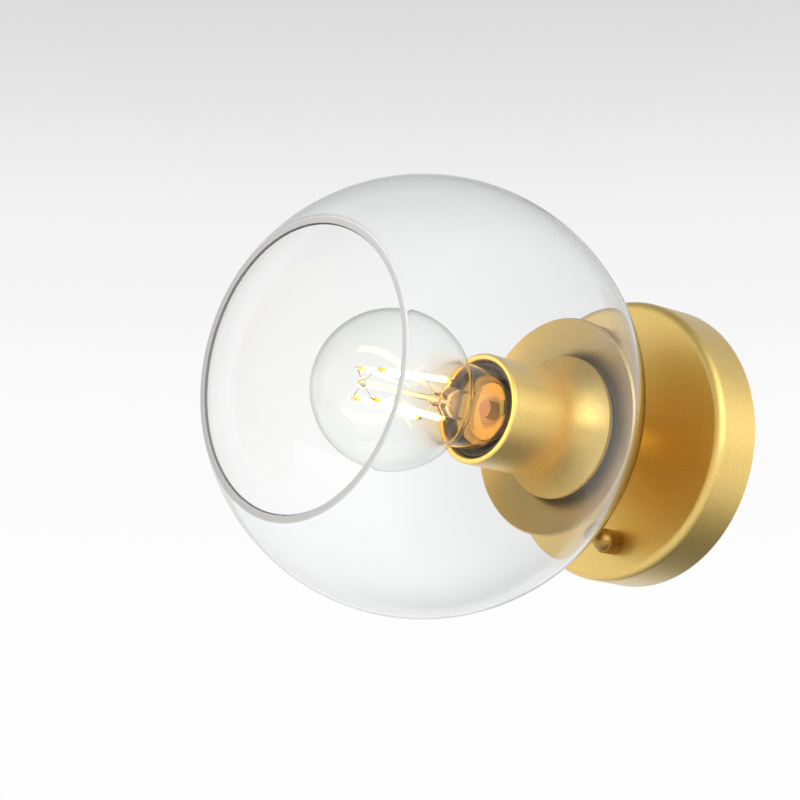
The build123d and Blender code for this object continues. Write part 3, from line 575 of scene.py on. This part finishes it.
# The outer chamfer carries a painted highlight.
globe.data.materials.append(ground_glass("outer_bevel_painted_highlight", OUTER_BEVEL_HIGHLIGHT_DEEP, OUTER_BEVEL_HIGHLIGHT_PALE))
rim_faces = 1
inner_bevel_shade_faces = 2
outer_bevel_highlight_faces = 3
for face in globe.data.polygons:
    behind_mouth = globe_mouth + face.center.y
    from_axis = Vector((face.center.x, 0, face.center.z)).length
    if behind_mouth < RIM_FLATNESS:
        face.material_index = rim_faces
    elif from_axis > ground_outer_radius and behind_mouth < RIM_OUTER_CHAMFER:
        face.material_index = outer_bevel_highlight_faces
    elif from_axis < ground_outer_radius and behind_mouth < RIM_INNER_CHAMFER:
        face.material_index = inner_bevel_shade_faces


# Socket cup: a trumpet spun from steel with a rolled lip, sprayed gold like the canopy.
# Its flange clamps the glass, and a lock nut inside pulls it onto the nipple.

dress(satin_gold, "socket_cup")


# Socket: black moulded phenolic in two halves, screwed to the nipple and stopped by a set screw.
# A rolled aluminium shell takes the bulb, and a brass tongue and brass screws carry the current.

PHENOLIC_DARK = (0.008, 0.008, 0.009)
PHENOLIC_LIGHT = (0.022, 0.021, 0.020)
PHENOLIC_SKIN = 0.0006
ALUMINIUM_DARK = (0.62, 0.63, 0.64)
ALUMINIUM_LIGHT = (0.78, 0.78, 0.78)
BRASS_DARK = (0.55, 0.37, 0.11)
BRASS_LIGHT = (0.72, 0.53, 0.22)
SHEET_LINE = 0.0009
SHEET_LINE_DEPTH = 0.00002
SHEET_LINE_STRETCH = (0.08, 1, 0.08)
SHEET_STAIN = 0.006

phenolic = moulded("black_phenolic", PHENOLIC_DARK, PHENOLIC_LIGHT, PHENOLIC_SKIN, 0.42, gleam=0.25)
dress(phenolic, "socket_cap", "socket_body")
dress(zinc, "socket_set_screw")


def rolled_sheet(name, low_colour, high_colour, roughness):
    """Thin sheet metal with lines round the axis from its rolling."""
    finish, surface = new_finish(name)
    lines = surface.clouds(SHEET_LINE, detail=3.0, stretch=SHEET_LINE_STRETCH)
    surface.cover(
        surface.principled(
            base_color=surface.clouds(SHEET_STAIN, detail=3.0).between(low_colour, high_colour),
            metallic=1.0,
            roughness=roughness + lines * 0.18,
            normal=surface.relief(lines, SHEET_LINE_DEPTH, 0.4),
        )
    )
    return finish


brass = rolled_sheet("bright_brass", BRASS_DARK, BRASS_LIGHT, 0.2)
dress(rolled_sheet("rolled_aluminium", ALUMINIUM_DARK, ALUMINIUM_LIGHT, 0.22), "socket_screw_shell")
dress(brass, "socket_contact", "socket_terminal_screws")


# Leads: stranded wire in a soft cover, black for the line and white for the neutral.
# They run from the socket's screws through the nipple to the terminal block.

BLACK_COVER = (0.010, 0.010, 0.011)
BLACK_COVER_WORN = (0.03, 0.03, 0.032)
WHITE_COVER = (0.70, 0.70, 0.67)
WHITE_COVER_LIGHT = (0.82, 0.82, 0.80)
COVER_SKIN = 0.0005

dress(moulded("black_lead_cover", BLACK_COVER, BLACK_COVER_WORN, COVER_SKIN, 0.4), "line_lead")
dress(moulded("white_lead_cover", WHITE_COVER, WHITE_COVER_LIGHT, COVER_SKIN, 0.4), "neutral_lead")


# Bulb glass: a thin blown sphere that runs into a neck, a little green at its edges and darker there as a
# painted shade.
# Its neck is tinted amber towards its end, a painted warm light of the filaments.
# Its sealed end stands in the screw base, in tan cement that shows through the glass.

BULB_WALL = 0.0006
BULB_NECK_RADIUS = 0.0172
BULB_NECK_FILLET = 0.0100
BULB_SEAL_RADIUS = 0.0130
BULB_SEAL_LENGTH = 0.0040
BULB_TAPER = 0.0080
BULB_AROUND = 160
BULB_STEPS = 60
NECK_STEPS = 12
CEMENT_LENGTH = 0.0074
CEMENT_DEEP = (0.62, 0.42, 0.17)
CEMENT_PALE = (0.78, 0.57, 0.27)
CEMENT_GRIT = 0.0007
BULB_TINT = (0.985, 0.992, 0.985)
BULB_EDGE_SHADE = (0.34, 0.39, 0.33)
BULB_EDGE_TIGHTNESS = 8.0
# The neck's amber is a painted warm light of the filaments.
NECK_WARM_LIGHT = (0.92, 0.72, 0.43)
NECK_WARM_LIGHT_END = 0.111
NECK_CLEAR_START = 0.129
BULB_RIPPLE = 0.02
BULB_RIPPLE_DEPTH = 0.00004

bulb_low, bulb_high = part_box("bulb_envelope")
bulb_radius = (bulb_high.x - bulb_low.x) / 2
bulb_centre = -bulb_low.y - bulb_radius
bulb_back = -bulb_high.y


def bulb_outline(inset):
    """Points (radius, out) from the sealed end to the pole, inside the outer face by an inset."""
    sphere = bulb_radius - inset
    fillet = BULB_NECK_FILLET + inset
    neck = BULB_NECK_RADIUS - inset
    seal = BULB_SEAL_RADIUS - inset
    fillet_reach = sphere + fillet
    fillet_middle = neck + fillet
    fillet_out = bulb_centre - sqrt(fillet_reach**2 - fillet_middle**2)
    fillet_turn = acos(fillet_middle / fillet_reach)
    points = [(seal, bulb_back)]
    for step in range(NECK_STEPS + 1):
        share = step / NECK_STEPS
        swell = (1 - cos(pi * share)) / 2
        points.append((seal + (neck - seal) * swell, bulb_back + BULB_SEAL_LENGTH + share * BULB_TAPER))
    for step in range(NECK_STEPS):
        angle = fillet_turn * step / NECK_STEPS
        points.append((fillet_middle - fillet * cos(angle), fillet_out + fillet * sin(angle)))
    join_angle = asin(fillet_middle / fillet_reach)
    return points + arc_points(bulb_centre, sphere, join_angle, pi, BULB_STEPS)


bulb_glass = turned("bulb_glass", bulb_outline(BULB_WALL)[::-1] + bulb_outline(0), BULB_AROUND)
bulb_tints_and_shading = (BULB_TINT, BULB_EDGE_SHADE, NECK_WARM_LIGHT, NECK_WARM_LIGHT_END, NECK_CLEAR_START)
thin_glass = clear_glass(
    "thin_bulb_glass",
    bulb_tints_and_shading,
    BULB_RIPPLE,
    BULB_RIPPLE_DEPTH,
    GLASS_BEND,
    edge_tightness=BULB_EDGE_TIGHTNESS,
)
settle(bulb_glass, thin_glass, "bulb", "bulb_glass", "bulb_envelope")
bulb_glass.data.materials.append(moulded("tan_cement", CEMENT_DEEP, CEMENT_PALE, CEMENT_GRIT, 0.5))
cement_faces = 1
for face in bulb_glass.data.polygons:
    if face.center.y > -bulb_back - CEMENT_LENGTH:
        face.material_index = cement_faces


# Stem of the bulb: a hollow glass flare, fused to the neck, that closes in a solid pinch.
# A drawn rod stands on the pinch and ends in a bead that holds the front wires.

STEM_RADIUS = 0.0062
STEM_WALL = 0.0010
STEM_FLARE_LENGTH = 0.0120
STEM_LENGTH = 0.0260
STEM_SHOULDER = 0.0036
PINCH_RADIUS = 0.0027
PINCH_LENGTH = 0.0068
ROD_RADIUS = 0.0012
ROD_BORE_RADIUS = 0.0008
BEAD_RADIUS = 0.0022
STEM_AROUND = 64
STEM_STEPS = 10
# The stem's warm tint is a painted warm light of the filaments, and the stem's and bead's darker edge tints
# are a painted shade.
STEM_WARM_LIGHT_TINT = (0.985, 0.955, 0.90)
STEM_EDGE_SHADE = (0.955, 0.885, 0.77)
BEAD_TINT = (0.96, 0.94, 0.70)
BEAD_EDGE_SHADE = (0.72, 0.68, 0.36)
STEM_BEND = 1.09
STEM_MIRROR = (1, 1, 1, 1)
STEM_HAZE = 0.05
HAZE_DEEP = (0.62, 0.46, 0.28)
HAZE_PALE = (0.82, 0.66, 0.46)
STEM_RIPPLE = 0.006
STEM_RIPPLE_DEPTH = 0.00003

stem_low, stem_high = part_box("bulb_stem")
stem_start = -stem_high.y
stem_top = stem_start + STEM_LENGTH
stem_mouth = (stem_high.x - stem_low.x) / 2
bead_end = -stem_low.y
bead_centre = bead_end - BEAD_RADIUS


def flare_points(mouth, throat):
    """Points (radius, out) of the flare's curve, from its mouth to its throat."""
    points = []
    for step in range(STEM_STEPS + 1):
        share = step / STEM_STEPS
        points.append((throat + (mouth - throat) * (1 - share) ** 2, stem_start + share * STEM_FLARE_LENGTH))
    return points


def shoulder_points(radius, end_radius, start, length):
    """Points (radius, out) of a quarter round from a tube to a narrower end."""
    points = []
    for step in range(1, STEM_STEPS + 1):
        angle = pi / 2 * step / STEM_STEPS
        points.append((end_radius + (radius - end_radius) * cos(angle), start + length * sin(angle)))
    return points


def glass_mount():
    """The stem from the inside of its hollow, which runs on into the rod, to the pole of its bead."""
    bore = STEM_RADIUS - STEM_WALL
    bore_end = stem_top - STEM_SHOULDER - STEM_WALL
    pinch_end = stem_top + PINCH_LENGTH
    hollow = flare_points(stem_mouth - STEM_WALL, bore)
    hollow += shoulder_points(bore, ROD_BORE_RADIUS, bore_end - STEM_SHOULDER, STEM_SHOULDER)
    hollow += [(ROD_BORE_RADIUS, bead_centre - BEAD_RADIUS), (0, bead_centre - BEAD_RADIUS)]
    outside = flare_points(stem_mouth, STEM_RADIUS)
    outside += shoulder_points(STEM_RADIUS, PINCH_RADIUS, stem_top - STEM_SHOULDER, STEM_SHOULDER)
    outside += shoulder_points(PINCH_RADIUS, ROD_RADIUS, pinch_end - PINCH_RADIUS, PINCH_RADIUS)
    bead_start = asin(ROD_RADIUS / BEAD_RADIUS)
    outside += arc_points(bead_centre, BEAD_RADIUS, bead_start, pi, STEM_STEPS)
    return turned("glass_mount", hollow[::-1] + outside, STEM_AROUND)


mount = glass_mount()
stem_tints_and_shading = (STEM_WARM_LIGHT_TINT, STEM_EDGE_SHADE)
stem_glass = clear_glass(
    "stem_glass",
    stem_tints_and_shading,
    STEM_RIPPLE,
    STEM_RIPPLE_DEPTH,
    STEM_BEND,
    mirror=STEM_MIRROR,
    haze=(STEM_HAZE, HAZE_DEEP, HAZE_PALE),
)
settle(mount, stem_glass, "bulb", "stem_glass", "bulb_stem")
bead_tints_and_shading = (BEAD_TINT, BEAD_EDGE_SHADE)
bead_glass = clear_glass("bead_glass", bead_tints_and_shading, STEM_RIPPLE, STEM_RIPPLE_DEPTH, GLASS_BEND, STEM_MIRROR)
mount.data.materials.append(bead_glass)
bead_faces = 1
for face in mount.data.polygons:
    if face.center.y < BEAD_RADIUS - bead_centre:
        face.material_index = bead_faces


# Filaments: rows of tiny lamps on a strip, dipped in yellow phosphor, with a metal tab at each end.
# Lit, they are white, and the phosphor stays yellow at the ends, past the last lamps.

FILAMENTS = 4
FILAMENT_FIRST_ANGLE = radians(32)
FILAMENT_RADIUS = 0.0011
FILAMENT_FRONT_SPREAD = 0.0082
FILAMENT_REAR_SPREAD = 0.0112
FILAMENT_LIGHT = 11.0
FILAMENT_STEPS = 6
TAB_LENGTH = 0.0020
WIRE_SIDES = 16
WIRE_CRISP_ANGLE = 60
PHOSPHOR_DEEP = (0.85, 0.52, 0.06)
PHOSPHOR_PALE = (0.95, 0.72, 0.18)
PHOSPHOR_BEAD = 0.0011
LIT_COLOUR = (1.0, 0.72, 0.32)
UNLIT_COLOUR = (0.035, 0.020, 0.002)
UNLIT_SHARE = 0.06
LIT_SHARE = 0.13

filament_low, filament_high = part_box("bulb_filaments")
filament_front = -filament_low.y
filament_rear = -filament_high.y


def round_wire(route, radii, first=0):
    """The corners and faces of a round wire along a route, its faces numbered from a first corner."""
    corners = []
    side = None
    for index, (point, radius) in enumerate(zip(route, radii)):
        along = (route[min(index + 1, len(route) - 1)] - route[max(index - 1, 0)]).normalized()
        side = along.orthogonal() if side is None else side - along * side.dot(along)
        side.normalize()
        over = along.cross(side)
        for step in range(WIRE_SIDES):
            angle = tau * step / WIRE_SIDES
            corners.append(point + radius * (cos(angle) * side + sin(angle) * over))
    faces = []
    for row in range(len(route) - 1):
        low = first + row * WIRE_SIDES
        for step in range(WIRE_SIDES):
            after = (step + 1) % WIRE_SIDES
            faces.append((low + step, low + after, low + WIRE_SIDES + after, low + WIRE_SIDES + step))
    last = first + (len(route) - 1) * WIRE_SIDES
    faces.append(tuple(range(first, first + WIRE_SIDES)))
    faces.append(tuple(range(last, last + WIRE_SIDES)))
    return corners, faces


def wires(name, routes):
    """One piece made of several wires, each a route and its radii."""
    corners = []
    faces = []
    for route, radii in routes:
        more_corners, more_faces = round_wire(route, radii, len(corners))
        corners += more_corners
        faces += more_faces
    piece = piece_of(name, corners, faces)
    crisp(piece, WIRE_CRISP_ANGLE)
    return piece


def filament_ends(index):
    """The front and rear ends of one filament."""
    angle = FILAMENT_FIRST_ANGLE + index * tau / FILAMENTS
    spoke = Vector((cos(angle), 0, sin(angle)))
    front = FILAMENT_FRONT_SPREAD * spoke + Vector((0, -filament_front, 0))
    rear = FILAMENT_REAR_SPREAD * spoke + Vector((0, -filament_rear, 0))
    return front, rear


def filament(index):
    """A dipped filament with round ends, as a route and its radii."""
    front, rear = filament_ends(index)
    along = (front - rear).normalized()
    route = []
    radii = []
    for step in range(1, FILAMENT_STEPS + 1):
        angle = pi / 2 * step / FILAMENT_STEPS
        route.append(rear + along * FILAMENT_RADIUS * (1 - cos(angle)))
        radii.append(FILAMENT_RADIUS * sin(angle))
    for step in range(FILAMENT_STEPS, 0, -1):
        angle = pi / 2 * step / FILAMENT_STEPS
        route.append(front - along * FILAMENT_RADIUS * (1 - cos(angle)))
        radii.append(FILAMENT_RADIUS * sin(angle))
    return route, radii


def lit_phosphor():
    """Phosphor that shines between its ends."""
    finish, surface = new_finish("lit_phosphor")
    across = surface.node("ShaderNodeSeparateXYZ", sockets={"Vector": surface.places()}, output=1)
    along = (across - filament_low.y) * (1 / (filament_high.y - filament_low.y))
    stops = [
        (UNLIT_SHARE, UNLIT_COLOUR),
        (LIT_SHARE, LIT_COLOUR),
        (1 - LIT_SHARE, LIT_COLOUR),
        (1 - UNLIT_SHARE, UNLIT_COLOUR),
    ]
    beads = surface.clouds(PHOSPHOR_BEAD, detail=1.0)
    surface.cover(
        surface.principled(
            base_color=beads.between(PHOSPHOR_DEEP, PHOSPHOR_PALE),
            roughness=0.4 + beads * 0.2,
            emission_color=surface.node("ShaderNodeValToRGB", {"stops": stops}, {"Fac": along}),
            emission_strength=FILAMENT_LIGHT,
        )
    )
    return finish


filaments = wires("lit_filaments", [filament(index) for index in range(FILAMENTS)])
settle(filaments, lit_phosphor(), "bulb", "filament_coating", "bulb_filaments")


# Filament wires: thin nickel-iron wire, welded across the tabs at the filaments' ends.
# The front ones stand in the bead like a star, and the rear ones come out of the pinch.

WIRE_RADIUS = 0.00016
TAB_RADIUS = 0.00030
WIRE_OVERSHOOT = 0.0014
WIRE_DARK = (0.26, 0.19, 0.12)
WIRE_LIGHT = (0.42, 0.32, 0.21)
PINCH_WIRE_BACK = 0.0016  # from the filaments' rear ends


def star(name, anchor_out, anchor_radius, end):
    """Wires from the stem to the tabs at one end of the filaments, and those tabs."""
    routes = []
    for index in range(FILAMENTS):
        ends = filament_ends(index)
        along = (ends[end] - ends[1 - end]).normalized()
        tab_start = ends[end] - along * FILAMENT_RADIUS
        tab_end = ends[end] + along * TAB_LENGTH
        routes.append(([tab_start, tab_end], [TAB_RADIUS, TAB_RADIUS]))
        weld = ends[end] + along * TAB_LENGTH / 2
        anchor = Vector((0, -anchor_out, 0))
        reach = (weld - anchor).normalized()
        root = anchor + reach * anchor_radius
        tip = weld + reach * WIRE_OVERSHOOT
        routes.append(([root, tip], [WIRE_RADIUS, WIRE_RADIUS]))
    return wires(name, routes)


nickel_iron = rolled_sheet("nickel_iron_wire", WIRE_DARK, WIRE_LIGHT, 0.3)
front_star = star("front_star", bead_centre, BEAD_RADIUS - WIRE_RADIUS, 0)
settle(front_star, nickel_iron, "bulb", "filament_wire", "bulb_front_wires")
rear_star = star("rear_star", filament_rear - PINCH_WIRE_BACK, PINCH_RADIUS - WIRE_RADIUS, 1)
settle(rear_star, nickel_iron, "bulb", "filament_wire", "bulb_rear_wires")


# Bulb base: a rolled nickel-plated screw shell, crimped round the neck.
# A black moulded cone closes its end, and the contact button at its tip is a drop of solder.

NICKEL_DARK = (0.60, 0.58, 0.54)
NICKEL_LIGHT = (0.74, 0.72, 0.68)
SOLDER_DARK = (0.50, 0.50, 0.50)
SOLDER_LIGHT = (0.66, 0.66, 0.65)

dress(rolled_sheet("nickel_plated_base", NICKEL_DARK, NICKEL_LIGHT, 0.2), "bulb_screw_base")
dress(phenolic, "bulb_insulator")
dress(rolled_sheet("solder", SOLDER_DARK, SOLDER_LIGHT, 0.3), "bulb_contact")


# Driver: a round tan circuit board in the sealed end of the neck, lit by the filaments through the flare.
# A capacitor and a chip are soldered to it, and mauve resin lies round them.

BOARD_DEEP = (0.36, 0.26, 0.10)
BOARD_PALE = (0.48, 0.37, 0.16)
RESIN_DEEP = (0.17, 0.11, 0.085)
RESIN_PALE = (0.34, 0.25, 0.20)
RESIN_REACH = 0.0072
RESIN_FADE = 0.0012
RESIN_BLOT = 0.0035
SLEEVE_DEEP = (0.17, 0.095, 0.07)
SLEEVE_PALE = (0.26, 0.155, 0.12)
CHIP_DEEP = (0.10, 0.16, 0.08)
CHIP_PALE = (0.20, 0.28, 0.14)
DRIVER_SKIN = 0.0008


def resined_board():
    """A tan board with mauve resin round the parts in its middle."""
    finish, surface = new_finish("driver_board")
    skin = surface.clouds(DRIVER_SKIN, detail=3.0)
    blots = surface.clouds(RESIN_BLOT, detail=3.0)
    across = surface.places((1, 0, 1))
    radius = surface.node("ShaderNodeVectorMath", {"operation": "LENGTH"}, {0: across}, 1)
    edge = RESIN_REACH - radius + (blots - 0.5) * RESIN_FADE * 2
    resin = (edge * (1 / RESIN_FADE)).limited()
    colours = {0: resin, 6: skin.between(BOARD_DEEP, BOARD_PALE), 7: blots.between(RESIN_DEEP, RESIN_PALE)}
    surface.cover(
        surface.principled(
            base_color=surface.node("ShaderNodeMix", {"data_type": "RGBA"}, colours, 2),
            roughness=0.4 - resin * 0.15,
            normal=surface.relief(skin, MOULD_DEPTH, 0.4),
        )
    )
    return finish


dress(resined_board(), "bulb_driver_board")
dress(moulded("capacitor_sleeve", SLEEVE_DEEP, SLEEVE_PALE, DRIVER_SKIN, 0.3), "bulb_driver_capacitor")
dress(moulded("chip_case", CHIP_DEEP, CHIP_PALE, DRIVER_SKIN, 0.4), "bulb_driver_chip")


# Light of the bulb: the warm light that the filaments throw, from a soft ball inside the bulb.
# It travels with the bulb when that is screwed out, and leaves no mirrored disc in the glass.

BULB_LIGHT_COLOUR = (1.0, 0.72, 0.40)
BULB_LIGHT_POWER = 0.28
BULB_LIGHT_RADIUS = 0.017

bulb_lamp = bpy.data.lights.new("bulb_light", "POINT")
bulb_lamp.color = BULB_LIGHT_COLOUR
bulb_lamp.energy = BULB_LIGHT_POWER
bulb_lamp.shadow_soft_size = BULB_LIGHT_RADIUS
bulb_light = bpy.data.objects.new("bulb_light", bulb_lamp)
bpy.context.scene.collection.objects.link(bulb_light)
bulb_light.location = (0, -(filament_front + filament_rear) / 2, 0)
bulb_light.parent = frame["bodies"]["bulb"]
bulb_light.visible_camera = False
bulb_light.visible_transmission = False
passed_by = bpy.data.collections.new("glass_that_the_bulb_light_passes")
for glass_piece in (globe, bulb_glass):
    passed_by.objects.link(glass_piece)
for entry in passed_by.collection_objects:
    entry.light_linking.link_state = "EXCLUDE"
bulb_light.light_linking.receiver_collection = passed_by


# Studio: a pale floor below the lamp and a backdrop that darkens upwards, as in the photograph.
# Two large soft lamps light what is matt, and soft glows in the backdrop show in what is glossy.

FLOOR_DROP = 0.55
FLOOR_SIZE = 30.0
FLOOR_PATCH = 0.4
FLOOR_SHADE = (0.84, 0.84, 0.84)
FLOOR_LIGHT = (0.88, 0.88, 0.88)
FLOOR_WHITE = (0.98, 0.98, 0.98, 1)
FLOOR_WHITE_SHARE = 0.7
FLOOR_SHADED_LIGHT = 0.12
FLOOR_FAR_LIGHT = 1.0
FLOOR_SHADE_PLACE = (0, 0.45, 0)
FLOOR_SHADE_RADIUS = 0.20
FLOOR_SHADE_FADE = 0.70
SKY_LIGHT = 0.40
MIRRORED_DIMMING = 0.30  # of the backdrop, in what mirrors it
LAMP_AIM = (0, -0.1, 0)
LAMP_SIZE = 1.3
RIGHT_LAMP_PLACE = (1.7, -0.35, 0.40)
RIGHT_LAMP_POWER = 24
FRONT_LAMP_PLACE = (0.2, -1.9, 0.9)
FRONT_LAMP_POWER = 9
RIGHT_GLOW = (0.96, -0.11, 0.24)
RIGHT_GLOW_LIGHT = 1.4
RIGHT_GLOW_TIGHTNESS = 4.0
LOW_GLOW = (0.99, -0.11, 0.02)
LOW_GLOW_LIGHT = 1.0
LOW_GLOW_TIGHTNESS = 5.0
LEFT_GLOW = (-0.70, -0.67, 0.24)
LEFT_GLOW_LIGHT = 0.62
LEFT_GLOW_TIGHTNESS = 4.0
TOP_GLOW = (-0.36, 0.67, 0.65)
TOP_GLOW_LIGHT = 0.30
TOP_GLOW_TIGHTNESS = 3.0
BACK_GLOW = (0.70, 0.67, 0)
BACK_GLOW_LIGHT = 0.36
BACK_GLOW_TIGHTNESS = 3.0
BACKDROP_STOPS = [
    (0.0, (0.97, 0.97, 0.97)),
    (0.17, (0.99, 0.99, 0.99)),
    (0.24, (0.955, 0.955, 0.955)),
    (0.30, (0.89, 0.89, 0.89)),
    (0.36, (0.72, 0.72, 0.72)),
    (0.55, (0.45, 0.45, 0.45)),
    (1.0, (0.35, 0.35, 0.35)),
]


def pale_floor():
    """Matt paper, near white to the eye and through glass.

    What mirrors it shows the shade below the lamp.
    """
    finish, surface = new_finish("pale_floor")
    patches = surface.clouds(FLOOR_PATCH, detail=3.0)
    paper = surface.principled(base_color=patches.between(FLOOR_SHADE, FLOOR_LIGHT), roughness=0.7)
    points = {0: surface.places(), 1: FLOOR_SHADE_PLACE}
    distance = surface.node("ShaderNodeVectorMath", {"operation": "DISTANCE"}, points, 1)
    lit = ((distance - FLOOR_SHADE_RADIUS) * (1 / FLOOR_SHADE_FADE)).limited()
    tone = lit * (FLOOR_FAR_LIGHT - FLOOR_SHADED_LIGHT) + FLOOR_SHADED_LIGHT
    mirrored = surface.node("ShaderNodeLightPath", output="Glossy Depth").limited()
    shown = surface.node("ShaderNodeMix", {"data_type": "RGBA"}, {0: mirrored, 6: FLOOR_WHITE, 7: tone}, 2)
    white = surface.node("ShaderNodeEmission", sockets={"Color": shown, "Strength": 1.0})
    seen = surface.node("ShaderNodeLightPath", output="Is Camera Ray")
    through = surface.node("ShaderNodeLightPath", output="Is Transmission Ray")
    share = (seen | through) * FLOOR_WHITE_SHARE | mirrored
    surface.cover(surface.node("ShaderNodeMixShader", sockets={0: share, 1: paper, 2: white}))
    return finish


def studio_floor():
    """A flat sheet far wider than the lamp."""
    half = FLOOR_SIZE / 2
    corners = [(-half, -half, 0), (half, -half, 0), (half, half, 0), (-half, half, 0)]
    mesh = bpy.data.meshes.new("studio_floor")
    mesh.from_pydata(corners, [], [(0, 1, 2, 3)])
    mesh.materials.append(pale_floor())
    floor = bpy.data.objects.new("studio_floor", mesh)
    bpy.context.scene.collection.objects.link(floor)
    floor.location.z = -FLOOR_DROP
    return floor


studio_floor()

world = bpy.data.worlds.new("studio")
bpy.context.scene.world = world
world.use_nodes = True
world.node_tree.nodes.clear()
studio = Surface(world.node_tree)
direction = studio.node("ShaderNodeTexCoord", output=0)


def glow(towards, light, tightness):
    """A soft round glow in the backdrop."""
    middle = Vector(towards).normalized()
    sockets = {0: direction, 1: middle}
    facing = studio.node("ShaderNodeVectorMath", {"operation": "DOT_PRODUCT"}, sockets, output=1)
    return facing.limited() ** tightness * light


height = studio.node("ShaderNodeSeparateXYZ", sockets={"Vector": direction}, output=2)
backdrop = studio.node("ShaderNodeValToRGB", {"stops": BACKDROP_STOPS}, {"Fac": height.limited()})
glows = glow(RIGHT_GLOW, RIGHT_GLOW_LIGHT, RIGHT_GLOW_TIGHTNESS)
glows += glow(LOW_GLOW, LOW_GLOW_LIGHT, LOW_GLOW_TIGHTNESS)
glows += glow(LEFT_GLOW, LEFT_GLOW_LIGHT, LEFT_GLOW_TIGHTNESS)
glows += glow(TOP_GLOW, TOP_GLOW_LIGHT, TOP_GLOW_TIGHTNESS)
glows += glow(BACK_GLOW, BACK_GLOW_LIGHT, BACK_GLOW_TIGHTNESS)
reflected = studio.node("ShaderNodeLightPath", output="Glossy Depth").limited()
seen = studio.node("ShaderNodeLightPath", output="Is Camera Ray")
mirrored = studio.node("ShaderNodeLightPath", output="Is Glossy Ray")
through = studio.node("ShaderNodeLightPath", output="Is Transmission Ray")
on_show = seen | mirrored | through
shown_light = backdrop * (1 - reflected * MIRRORED_DIMMING) + reflected * glows
shown_backdrop = studio.node("ShaderNodeBackground", sockets={"Color": shown_light, "Strength": 1.0})
sky = studio.node("ShaderNodeBackground", sockets={"Color": (1, 1, 1, 1), "Strength": SKY_LIGHT})
studio_light = studio.node("ShaderNodeMixShader", sockets={0: on_show, 1: sky, 2: shown_backdrop})
studio.node("ShaderNodeOutputWorld", sockets={"Surface": studio_light})


def soft_lamp(name, place, power):
    """A large round lamp that lights what is matt and leaves no shape in the glass."""
    light = bpy.data.lights.new(name, "AREA")
    light.shape = "DISK"
    light.size = LAMP_SIZE
    light.energy = power
    lamp = bpy.data.objects.new(name, light)
    bpy.context.scene.collection.objects.link(lamp)
    lamp.location = place
    lamp.rotation_mode = "QUATERNION"
    lamp.rotation_quaternion = (Vector(LAMP_AIM) - Vector(place)).to_track_quat("-Z", "Y")
    lamp.visible_glossy = False
    lamp.visible_transmission = False


soft_lamp("right_lamp", RIGHT_LAMP_PLACE, RIGHT_LAMP_POWER)
soft_lamp("front_lamp", FRONT_LAMP_PLACE, FRONT_LAMP_POWER)


# Camera: it stands low in front of the lamp and to its right, and looks up at it through a long lens.
# Its place and its turn were fitted to the circles of the globe, the cup, the dish and the canopy.

CAMERA_PLACE = (0.8289, -0.9354, -0.2836)
CAMERA_RIGHT = Vector((0.68934, 0.7244, 0))
CAMERA_FORWARD = Vector((-0.70367, 0.6697, 0.23773))
CAMERA_LENS = 133.57
CAMERA_SENSOR = 36.0
CAMERA_REACH = 100.0

camera_lens = bpy.data.cameras.new("photo_camera")
camera_lens.sensor_width = CAMERA_SENSOR
camera_lens.lens = CAMERA_LENS
camera_lens.clip_end = CAMERA_REACH
camera = bpy.data.objects.new("photo_camera", camera_lens)
bpy.context.scene.collection.objects.link(camera)
camera_axes = Matrix((CAMERA_RIGHT, CAMERA_RIGHT.cross(CAMERA_FORWARD), -CAMERA_FORWARD)).transposed()
camera.matrix_world = Matrix.Translation(CAMERA_PLACE) @ camera_axes.to_4x4()
bpy.context.scene.camera = camera
bpy.context.scene.view_settings.view_transform = "Standard"
